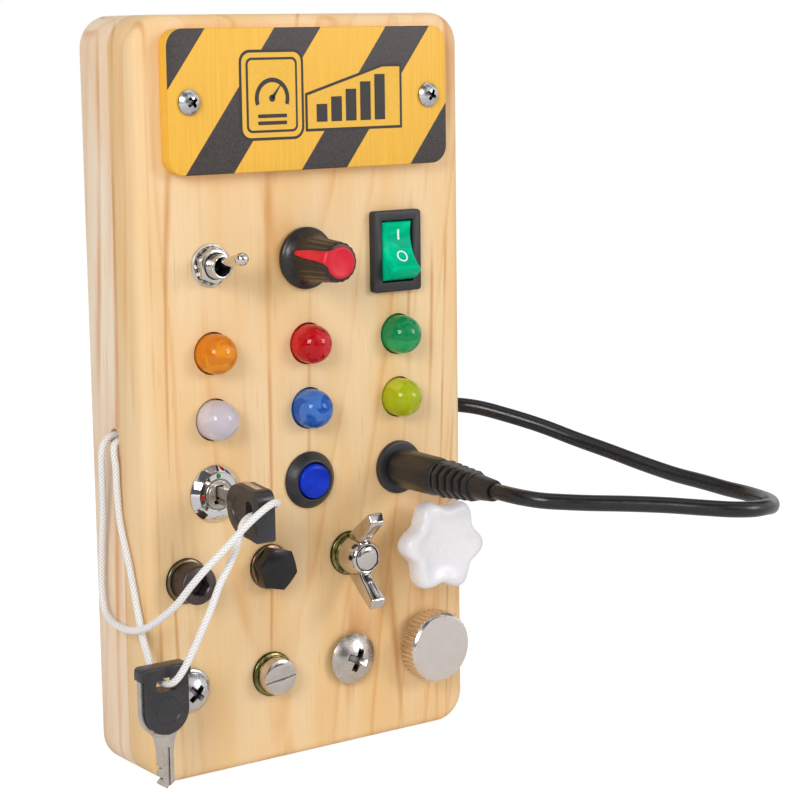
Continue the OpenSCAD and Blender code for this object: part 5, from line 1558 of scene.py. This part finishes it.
    def domed(self, name: str, node: str, body: str, col: int, diameter: float, high: float, rim: float,
              cross: float, turn: float, finish: Finish) -> None:
        """A domed head with a cross recess.

        Args:
            name: The piece's name.
            node: The CAD node that it replaces.
            body: The body that it rides on.
            col: Its column in the lower row.
            diameter: Of its head.
            high: The head's height.
            rim: Height of the straight side.
            cross: Width of the recess.
            turn: Angle of the recess in degrees.
            finish: What it is made of.
        """
        low = self.washer_t + self.seat_gap
        rise, half = high - rim, diameter / 2
        radius = (half**2 + rise**2) / (2 * rise)
        start = math.degrees(math.acos(half / radius))
        section = [(0, low), (half - 0.2, low), (half, low + 0.2), (half, low + rim)]
        head = Blank().lathe(section + arc((0, low + high - radius), radius, start, 90, 14)[1:], 72)
        head.cut(cross_tool(cross, cross * 0.27, low + high, 2.4).turn(turn))
        head.ease(0.12, 2, 50, lambda m: m.z > low + rim + 0.1)
        make(name, head.join(self.shaft()), self.at(col, 0), finish, body, [node])

    def slotted(self) -> None:
        """A cheese head with one slot."""
        low = self.washer_t + self.seat_gap
        top = low + 3.6
        head = Blank().lathe([(0, low), (4.55, low), (4.75, low + 0.2), (4.75, top - 0.6), (4.6, top - 0.2),
                              (4.3, top), (0, top)], 72)
        head.cut(Blank().box((12, 1.3, 2.0), (0, 0, top + 0.6)).turn(8))
        head.ease(0.08, 2, 50, lambda m: m.z > top - 0.7)
        make("slotted_cheese_head", head.join(self.shaft()), self.at(1, 0), Stock.CAST, "slotted",
             ["slotted_screw"])

    def thumb(self) -> None:
        """A knurled thumb knob with a bright chamfer."""
        low = self.washer_t + self.seat_gap
        top = low + 6.6

        def knurl(angle: float) -> float:
            """The radius over the straight knurl."""
            return 9.5 - 0.55 * abs(math.sin(22 * angle)) ** 1.3

        knob = Blank().stack([
            (low, lambda a: 8.7), (low + 0.3, lambda a: 8.95), (low + 0.5, knurl), (top - 1.0, knurl),
            (top - 0.85, lambda a: 9.2), (top - 0.7, lambda a: 9.14), (top - 0.12, lambda a: 8.62),
            (top, lambda a: 8.45), (top, lambda a: 4.0), (top, lambda a: 1.0)], 308)
        make("thumb_knurled_head", knob.join(self.shaft()), self.at(3, 0), Stock.KNURLED, "thumb",
             ["thumb_screw"], 28)

    def build(self) -> None:
        """Makes all screws and washers."""
        plain = (Stock.ZINC, "zinc_steel")
        olive = (Stock.YELLOW_ZINC, "yellow_zinc")
        brown = (Stock.RAINBOW_ZINC, "rainbow_zinc")
        for row, washers in (
            (1, (("socket", brown), ("hex", brown), ("wing", olive), ("star", plain))),
            (0, (("phillips", plain), ("slotted", olive), ("truss", plain), ("thumb", plain))),
        ):
            for col, (name, (finish, slot)) in enumerate(washers):
                self.washer(name, col, row, finish)
        self.socket()
        self.hexagon()
        self.wing()
        self.star()
        self.domed("phillips_pan_head", "phillips_screw", "phillips", 0, 9.6, 3.2, 1.2, 5.8, 0, Stock.ZINC)
        self.slotted()
        self.domed("truss_head", "truss_screw", "truss", 2, 13.5, 3.0, 0.5, 7.4, 20, Stock.WIPED)
        self.thumb()


# ---------- switches ----------


@dataclass
class Toggle:
    """The small toggle switch: threaded bush, nut, washer and lever."""

    place: Point2 = TOGGLE_AT
    bush: float = 6.1
    bore: float = 5.2
    mouth: float = 4.6
    high: float = 6.2
    lever: float = 15.9
    tilt: float = 10.5

    def build(self) -> None:
        """Makes the switch's outside."""
        at = on_face(*self.place)
        ring = Blank().lathe([(3.1, 0), (5.15, 0), (5.3, 0.12), (5.3, 0.6), (5.2, 0.76), (5.0, 0.8), (4.8, 0.74),
                              (4.65, 0.6), (3.1, 0.6)], 72)
        for i in range(14):
            ring.join(Blank().box((1.15, 0.95, 0.22), (4.25, 0, 0)).turn(24, "X").shift(0, 0, 0.66).turn(i * 360 / 14))
        make("toggle_star_ring", ring, at, Stock.LOCK_RING, stands_for=["toggle_washer"], sharp=50)
        nut = Blank().hexagon(8.2, 0.6, 3.2, 8)
        nut.cut(Blank().lathe([(0, 0), (6, 0), (6, 1.9), (4.05, 3.1), (3.8, 3.2), (0, 3.2)], 72), Cut.COMMON)
        nut.cut(Blank().lathe([(0, 0), (3.1, 0), (3.1, 2.9), (3.45, 3.4), (0, 3.4)], 48))
        make("toggle_hex_nut", nut.ease(0.09, 2, 28), at, Stock.NICKEL, stands_for=["toggle_nut"])
        bush = thread(self.bush, 0.5, -3.9, self.high - 0.75)
        inner = self.mouth / 2
        bush.lathe([(inner, self.high - 0.1), (inner + 0.12, self.high), (2.75, self.high), (2.95, self.high - 0.14),
                    (3.0, self.high - 0.32), (3.0, self.high - 0.8), (inner, self.high - 0.8)], 64)
        bush.cut(Blank().rod(self.bore, -3, self.high - 0.8, 48))
        bush.cut(Blank().rod(self.mouth, self.high - 2, self.high + 1, 48))
        body = Blank().box((8, 13, 10), (0, 0, -9)).ease(0.3, 2)
        for row in (-1, 0, 1):
            body.box((2, 0.8, 4.5), (0, 4.7 * row, -16))
        make("toggle_bush", bush.join(body), at, Stock.NICKEL, stands_for=["toggle_body"], sharp=50)
        # painted shade: a black sleeve lining the bore, put in to darken the inside of the bush round the lever
        bore_shade = Blank().lathe([(2.36, -1.2), (2.56, -1.2), (2.56, self.high - 0.85), (2.36, self.high - 0.85)], 48)
        make("toggle_bore_shade", bore_shade, at, Stock.BLACK_PLASTIC)
        ball = self.bore / 2 - 0.35
        tip = 1.68
        lever = Blank().lathe([(0, -3), (0.8, -3), (0.99, -ball + 0.35)] + arc((0, 0), ball, -55, 62, 14)
                              + [(1.1, ball + 0.15), (1.12, 6.0), (1.34, self.lever - tip - 2.4),
                                 (1.36, self.lever - tip - 1.2)]
                              + arc((0, self.lever - tip), tip, -36, 90, 16), 48)
        lever.turn(-self.tilt, "X").shift(0, 0, 1.0)
        make("toggle_bat", lever, at, Stock.MIRROR, "toggle", ["toggle_lever"], 50)


@dataclass
class Knob:
    """The fluted knob with its red cap and pointer."""

    place: Point2 = KNOB_AT
    skirt: float = 7.85
    low: float = 5.8
    top: float = 4.9
    high: float = 17.0
    flutes: int = 18
    pointer: float = 161.0

    def fluted(self, radius: float, depth: float) -> Callable[[float], float]:
        """A radius with shallow grooves.

        Args:
            radius: Between the grooves.
            depth: Of the grooves.

        Returns:
            The radius as a function of the angle.
        """

        def at(angle: float) -> float:
            """The radius at an angle."""
            wave = (1 + math.cos(self.flutes * (angle - math.radians(self.pointer)) + math.pi)) / 2
            return radius - depth * wave**1.5

        return at

    def build(self) -> None:
        """Makes the body and the cap."""
        at = on_face(*self.place)
        plain = self.fluted
        body = Blank().stack([
            (0.5, plain(self.skirt - 0.15, 0)), (0.65, plain(self.skirt, 0)), (1.5, plain(self.skirt, 0)),
            (1.75, plain(self.skirt - 0.12, 0)), (2.05, plain(self.skirt - 0.5, 0)),
            (2.3, plain(self.skirt - 0.95, 0)), (3.0, plain(self.low + 0.6, 0)), (3.6, plain(self.low + 0.1, 0)),
            (3.9, plain(self.low, 0.12)), (4.6, plain(self.low, 0.28)), (15.3, plain(self.top + 0.2, 0.26)),
            (15.85, plain(self.top + 0.12, 0.2)), (16.2, plain(self.top - 0.1, 0.1)),
            (16.4, plain(self.top - 0.4, 0.05)), (16.45, plain(self.top - 0.8, 0))], 216)
        make("knob_grip", body, at, Stock.KNOB_PLASTIC, "knob", ["knob_body"], 50)
        cap = Blank().lathe([(0, 15.9), (4.0, 15.9), (4.0, 16.6), (3.92, 16.82), (3.7, 16.96), (3.4, 17.0),
                             (3.1, 16.97), (2.8, 16.9), (0, 16.86)], 72)
        make("knob_red_cap", cap.join(self.finger()), at, Stock.RED_PLASTIC, "knob", ["knob_cap"], 50)

    def finger(self) -> Blank:
        """The pointer: flared at the cap, rounded across, and drawn to a point above the skirt.

        Returns:
            The pointer in the knob's own place.
        """
        side = [(2.2, 15.6), (4.2, 8.0), (5.0, 4.8), (5.6, 4.1), (6.05, 4.4), (6.1, 5.2), (5.9, 8.6), (5.65, 12.0),
                (5.45, 14.0), (5.3, 15.4), (5.0, 16.3), (4.2, 16.86), (3.2, 16.96), (2.2, 16.96)]
        finger = Blank().prism(side, -1.15, 1.15)
        for v in finger.bm.verts:
            out = max(0.0, min(1.0, (v.co.y - 3.8) / 7.0))
            flare = max(0.0, min(1.0, (5.2 - v.co.x) / 2.2)) if v.co.y > 15.8 else 0.0
            v.co.z *= 0.3 + 0.8 * out**0.7 + 1.2 * flare
        return finger.turn(90, "X").ease(0.45, 4, 40).turn(self.pointer)


@dataclass
class Rocker:
    """The rocker switch: a black bezel and a green rocker with two marks."""

    place: Point2 = ROCKER_AT
    radius: float = 7.7
    lip: float = 51.0
    hollow: float = 1.9
    tilt: float = 20.0
    width: float = 9.2

    def side(self) -> list[Point2]:
        """The rocker's outline from the side.

        Returns:
            Points as (up, outwards).
        """
        across = self.radius * math.sin(math.radians(self.lip))
        high = self.radius * math.cos(math.radians(self.lip))
        curve = self.dish()
        sweep = math.degrees(math.asin(across / curve))
        return (arc((0, 0), self.radius, -40, 90 - self.lip, 8)
                + arc((0, high - self.hollow + curve), curve, 270 + sweep, 270 - sweep, 20)[1:-1]
                + arc((0, 0), self.radius, 90 + self.lip, 220, 8))

    def dish(self) -> float:
        """The radius of the hollow front."""
        across = self.radius * math.sin(math.radians(self.lip))
        return (across**2 + self.hollow**2) / (2 * self.hollow)

    def front(self, up: float) -> Matrix:
        """The place of a point of the hollow front.

        Args:
            up: How far above the rocker's middle.

        Returns:
            The place, with the outward direction as local Z.
        """
        high = self.radius * math.cos(math.radians(self.lip)) - self.hollow + self.dish()
        angle = math.asin(up / self.dish())
        out = high - self.dish() * math.cos(angle)
        return Matrix.Translation((0, up, out)) @ Matrix.Rotation(angle, 4, "X")

    def build(self) -> None:
        """Makes the housing, the rocker and its marks."""
        at = on_face(*self.place)
        bezel = Blank().prism(rounded(15, 21, 1.0, 6), 0, 2.0).ease(0.35, 3, 60, lambda m: m.z > 1.9)
        bezel.box((12.8, 18.6, 16), (0, 0, -7.9))
        bezel.cut(Blank().box((9.8, 16.0, 12.4), (0, 0, -2.5)))
        bezel.ease(0.12, 2, 60, lambda m: m.z > 1.9)
        for row in (-1, 0, 1):
            bezel.box((4.8, 0.8, 6), (0, 6 * row, -18.5))
        make("rocker_bezel", bezel, at, Stock.BLACK_PLASTIC, stands_for=["rocker_housing"])
        tip = Matrix.Rotation(math.radians(-self.tilt), 4, "X")
        button = Blank().prism(self.side(), -self.width / 2, self.width / 2)
        button.ease(0.95, 1, 60, lambda m: abs(m.x) < 5.95 and m.y > 2.0 and abs(m.z) > self.width / 2 - 0.01)
        button.put(UPRIGHT).ease(0.14, 2, 30)
        make("rocker_paddle", button.put(tip), at, Stock.ROCKER_GREEN, "rocker", ["rocker_button"])
        marks = Blank()
        for i in range(8):
            marks.join(Blank().box((0.5, 0.36, 0.3)).put(self.front(2.2 + 0.31 * i)))
        ring = Blank().lathe([(1.2, -0.07), (1.56, -0.07), (1.56, 0.15), (1.2, 0.15)], 48)
        for v in ring.bm.verts:
            v.co = self.front(v.co.y - 2.5) @ Vector((v.co.x, 0, v.co.z))
        marks.join(ring)
        make("rocker_marks", marks.put(tip), at, Stock.MARK_WHITE, "rocker")
        ribs = Blank()
        for i in range(26):
            ribs.join(Blank().box((6.4, 0.18, 0.16)).put(self.front(4.9 - 0.4 * i)))
        make("rocker_ribs", ribs.put(tip), at, Stock.ROCKER_GREEN, "rocker")


# ---------- lamps ----------


@dataclass
class Lamps:
    """Six diffused lamps in two rows."""

    radius: float = 5.0
    rise: float = 2.2

    def build(self) -> None:
        """Makes the lamps, each with its flange behind the wood."""
        low, high = LAMP_ROWS
        rows = (
            (high, (("orange", Stock.ORANGE), ("red", Stock.RED), ("green", Stock.GREEN))),
            (low, (("white", Stock.MILK), ("blue", Stock.BLUE), ("yellow", Stock.YELLOW))),
        )
        for z, lamps in rows:
            for x, (name, finish) in zip(LAMP_COLUMNS, lamps):
                dome = Blank().lathe([(0, -5.5), (5.7, -5.5), (5.9, -5.3), (5.9, -4.15), (5.75, -4.0),
                                      (self.radius, -4.0)]
                                     + arc((0, self.rise), self.radius, 0, 90, 24), 72)
                make(f"lamp_{name}_dome", dome, on_face(x, z), finish,
                     stands_for=[f"lamp_{name}"], sharp=50)


# ---------- lock and keys ----------


@dataclass
class Lock:
    """The key lock, its key and the spare key on the string."""

    place: Point2 = LOCK_AT
    head: float = 17.0
    wide: float = 13.2
    thick: float = 4.8
    short_head: float = 14.6
    droop: float = 0.11

    def barrel(self) -> None:
        """A chromed rim, a flat ring with two dots, and the core with its slot."""
        at = on_face(*self.place)
        rim = Blank().lathe([(3.75, -17), (6.0, -17), (6.0, 0), (7.15, 0), (7.3, 0.1), (7.3, 0.32), (7.2, 0.46),
                             (5.82, 1.9), (5.72, 1.98), (5.6, 2.0), (5.5, 1.94), (5.42, 1.76), (5.32, 1.7), (4.2, 1.7),
                             (4.08, 1.62), (4.02, 1.35), (3.8, 1.35)], 96)
        make("lock_chrome_rim", rim, at, Stock.CHROME, stands_for=["lock_barrel"], sharp=24)
        core = Blank().lathe([(0, -19), (3.7, -19), (3.7, 1.5), (3.55, 1.68), (3.1, 1.68), (2.98, 1.54), (2.84, 1.54),
                              (2.72, 1.64), (0, 1.64)], 72)
        core.cut(Blank().box((1.5, 4.6, 8), (0, 0, -1.0)))
        for side in (-1, 1):
            core.cut(Blank().box((0.9, 0.9, 2), (0.9 * side, 1.9 * side, 1.6)))
        core.ease(0.08, 2, 50, lambda m: m.z > 1.4 and abs(m.x) < 1.4)
        make("lock_core_plug", core, at, Stock.SATIN, "lock_key", ["lock_core"])
        for name, finish, x, y in (("green", Stock.GREEN_DOT, 0.0, 4.75), ("red", Stock.RED_DOT, -4.65, -0.2)):
            dot = Blank().lathe([(0, 1.6), (0.64, 1.6), (0.64, 1.72), (0.45, 1.8), (0, 1.82)], 24)
            make(f"lock_{name}_dot", dot.shift(x, y), at, finish)

    def outline(self, bar: float, bar_l: float, wide: float, long: float, radius: float,
                corner: float = 1.0) -> list[Point2]:
        """A key head's outline: a bar at the outer end, with one worn corner, and a round inner end.

        Args:
            bar: Width of the bar.
            bar_l: Length of the bar.
            wide: Width of the head behind the bar.
            long: Length of the head.
            radius: Of the inner end's corners.
            corner: Of the worn corner.

        Returns:
            Its points.
        """
        half = wide / 2
        return (arc((corner, bar / 2 - corner), corner, 180, 90, 4) + [(bar_l, bar / 2), (bar_l, half)]
                + arc((long - radius, half - radius), radius, 90, 0, 14)
                + arc((long - radius, radius - half), radius, 0, -90, 14)
                + [(bar_l, -half), (bar_l, -bar / 2)] + arc((1, 1 - bar / 2), 1, 270, 180, 4))

    def key(self, name: str, at: Matrix, body: str, nodes: tuple[str, str], head: float, wide: float,
            stand: Matrix | None = None) -> None:
        """One key.

        Args:
            name: Start of its pieces' names.
            at: Place of its outer end, with its length along local X and its thickness along local Z.
            body: The body that it rides on.
            nodes: The CAD nodes of its plastic and its steel.
            head: Length of its head.
            wide: Width of its head.
            stand: Turns the key to the lock's axis, if its head droops there.
        """
        half = self.thick / 2
        bend = wide / 2 - 0.3
        if stand is None:
            outline = self.outline(wide, 3.1, wide - 1.4, head, bend - 0.4)
        else:
            outline = self.outline(wide, 3.1, wide - 0.2, head, bend, 2.4)
        grip = Blank().prism(outline, -half, half)
        grip.ease(0.5, 3, 60, lambda m: abs(abs(m.z) - half) < 0.05)
        slot = [(y, x) for x, y in arc((1.5, 0), 1.7, 90, -90, 12) + arc((-1.5, 0), 1.7, 270, 90, 12)]
        grip.cut(Blank().prism(slot, -4, 4).shift(4.4))
        for side in (-1, 1):
            dish = Blank().lathe([(0, 0), (3.2, 0), (3.6, 0.5), (0, 0.5)], 40)
            dish.put(Matrix.Diagonal((1.05, 1, 1, 1))).shift(head - 6.0, 0, half - 0.22)
            grip.cut(dish if side > 0 else dish.turn(180, "X"))
        centre = head + 0.7 - bend
        rim = arc((centre, 0.3), bend, 90, 0, 14) + arc((centre, -0.3), bend, 0, -90, 14)
        steel = Blank().prism([(3.2, bend + 0.3)] + rim + [(3.2, -bend - 0.3)], -0.9, 0.9)
        blade = [(head - 0.8, -3.8), (head + 1.0, -2.9), (head + 2.6, -2.35), (head + 5.6, -2.1),
                 (head + 8, -2.1), (head + 8.6, -1.3), (head + 9.4, -2.1), (head + 10.6, -2.1),
                 (head + 11.2, -1.05), (head + 12, -2.1), (head + 12.6, -2.1), (head + 14, 0),
                 (head + 12.6, 2.1), (head + 5.6, 2.1), (head + 2.6, 2.35), (head + 1.0, 2.9),
                 (head - 0.8, 3.8)]
        steel.cut(Blank().prism(blade, -0.65, 0.65), Cut.JOIN)
        inner = bend - 0.7
        hollow = [(-1, inner + 0.35)] + arc((head + 0.05 - inner, 0.35), inner, 90, 0, 14)
        hollow += arc((head + 0.05 - inner, -0.35), inner, 0, -90, 14) + [(-1, -inner - 0.35)]
        steel.cut(Blank().prism(hollow, -2, 2))
        steel.cut(Blank().box((11, 0.7, 1.0), (head + 9.2, 0.6, 0.85)).box((11, 0.7, 1.0), (head + 9.2, -0.5, -0.85)))
        for blank, tail, finish, node, slot_name in ((grip, "grip", Stock.KEY_PLASTIC, nodes[0], "key_plastic"),
                                                     (steel, "steel", Stock.KEY_STEEL, nodes[1], "key_steel")):
            if stand is not None:
                blank.put(stand)
                for v in blank.bm.verts:
                    v.co.y -= self.droop * max(0.0, v.co.z - 3.0)
            make(f"{name}_{tail}", blank, at, finish, body, [node])

    def build(self) -> None:
        """Makes the lock and both keys."""
        self.barrel()
        stand = Matrix.Translation((0, 0, 23.8)) @ Matrix.Rotation(math.pi / 2, 4, "Y")
        self.key("lock_key", on_face(*self.place), "lock_key", ("key_head", "key_blade"), self.short_head, 12.6,
                 stand)
        hang = Matrix.Translation((-52.4, -26.5, 35.6)) @ Matrix.Rotation(-math.pi / 2, 4, "Z")
        self.key("spare_key", hang @ Matrix.Rotation(math.pi / 2, 4, "Y"), "spare_key",
                 ("spare_key_head", "spare_key_blade"), self.head, self.wide)


# ---------- button and jack ----------


@dataclass
class Button:
    """The push button: a sloping black bezel and a blue cap."""

    place: Point2 = BUTTON_AT

    def build(self) -> None:
        """Makes the housing and the cap."""
        at = on_face(*self.place)
        housing = Blank().lathe([(0, -15), (5.9, -15), (5.9, 0), (7.2, 0), (7.35, 0.12), (7.35, 0.45), (7.25, 0.66),
                                 (5.62, 2.34), (5.35, 2.54), (5.1, 2.6), (4.9, 2.54), (4.75, 2.35), (4.7, 2.0),
                                 (4.7, -13), (0, -13)], 96)
        for side in (-1, 1):
            housing.box((2, 0.6, 4.5), (3 * side, 0, -17))
        make("button_bezel", housing, at, Stock.BEZEL_BLACK, stands_for=["button_housing"],
             sharp=40)
        cap = Blank().lathe([(0, -10), (2.1, -10), (2.1, -6), (4.45, -6), (4.45, 2.6)]
                            + arc((3.65, 2.6), 0.8, 10, 75, 6) + [(3.5, 3.46), (3.0, 3.54), (0, 3.6)], 80)
        make("button_blue_cap", cap, at, Stock.BUTTON_BLUE, "button", ["button_cap"], 40)


@dataclass
class Jack:
    """The round jack and the plug that sits in it."""

    place: Point2 = JACK_AT

    def build(self) -> None:
        """Makes the jack, the plug's sleeve and its grip with the ribbed relief."""
        at = on_face(*self.place)
        jack = Blank().lathe([(0, -12), (5.9, -12), (5.9, 0), (6.85, 0), (7.0, 0.15), (7.0, 0.9), (6.85, 1.25),
                              (6.5, 1.45), (6.2, 1.5), (2.85, 1.5), (2.8, 1.4), (2.8, -9), (1.0, -9), (1.0, 0),
                              (0.6, 0.4), (0, 0.5)], 80)
        make("jack_flange", jack, at, Stock.BEZEL_BLACK, stands_for=["jack_body"])
        sleeve = Blank().lathe([(1.35, -8), (2.5, -8), (2.75, -7.7), (2.75, 1.5), (0, 1.5), (0, 0.5), (1.3, 0.4)], 48)
        make("plug_sleeve", sleeve, at, Stock.NICKEL, "plug", ["plug_tip"])
        low, high = 1.5, 20.0
        grip = Blank().rod(9.6 / math.cos(math.pi / 8), low, high, 8, 22.5)
        grip.cut(Blank().lathe([(0, low), (4.25, low), (4.85, low + 1.0), (5.1, low + 1.8), (5.0, high - 2.4),
                                (4.7, high - 0.7), (4.4, high), (0, high)], 64), Cut.COMMON)
        grip.ease(0.3, 2, 25)
        for i in range(5):
            wide = 9.2 - 0.42 * i
            rib = Blank().rod(wide / math.cos(math.pi / 8), high + (i + 0.42) * 2.8, high + (i + 1) * 2.8, 8, 22.5)
            grip.join(rib.ease(0.22, 2, 25))
        grip.lathe([(0, high - 0.5), (3.0, high - 0.5), (2.7, 34.0), (3.3, 34.0), (3.35, 34.3), (2.75, 41.0),
                    (2.6, 41.4), (0, 41.4)], 48)
        make("plug_grip", grip, at, Stock.GRIP_BLACK, "plug", ["plug_body"], 30)


# ---------- back and inside ----------


@dataclass
class Inside:
    """The battery cover, and what lies behind the panels."""

    def build(self) -> None:
        """Makes the cover and dresses the hidden nodes."""
        cover = Blank().prism(rounded(42.5, 57.5, 2.7, 8), -2, 0).ease(0.25, 2, 60)
        cover.cut(Blank().lathe([(0, -3), (1.55, -3), (1.55, -1.35), (2.85, 0), (2.85, 1), (0, 1)], 40)
                  .shift(0, LID_Z - LID_SCREW_Z, 0))
        cover.cut(Blank().rod(12, -0.8, 2).shift(0, 28.75, 0))
        make("battery_lid", cover, on_back(0, LID_Z), Stock.COVER_PINE, "cover", ["battery_cover"])
        screw = Blank().lathe([(0, -10.5), (1.5, -9), (1.5, -1.3), (2.8, 0), (0, 0)], 40)
        screw.cut(cross_tool(3.0, 0.9, 0, 1.0))
        make("lid_screw", screw, on_back(0, LID_SCREW_Z), Stock.ZINC, "cover", ["cover_screw"])
        dress(Stock.BRASS, "insert_nuts")
        dress(Stock.ZINC, "pot_body", "pot_shaft", "back_nuts", "battery_contacts")
        dress(Stock.BOARD_GREEN, "circuit_board")
        dress(Stock.BLACK_PLASTIC, "battery_box")
        dress(Stock.CELL, "batteries")
        dress(Stock.LEAD_RED, "battery_leads")


def main() -> None:
    """Builds the studio and the board in order, and reports each piece."""
    logging.basicConfig(level=logging.INFO, format="%(message)s")
    for part in (Studio(), Jack(), Cords(), Block(), Sign(), Toggle(), Knob(), Rocker(), Lamps(), Lock(), Button(),
                 ScrewRow(), Inside()):
        log.info("building %s", type(part).__name__)
        part.build()


if __name__ == "__main__":
    main()
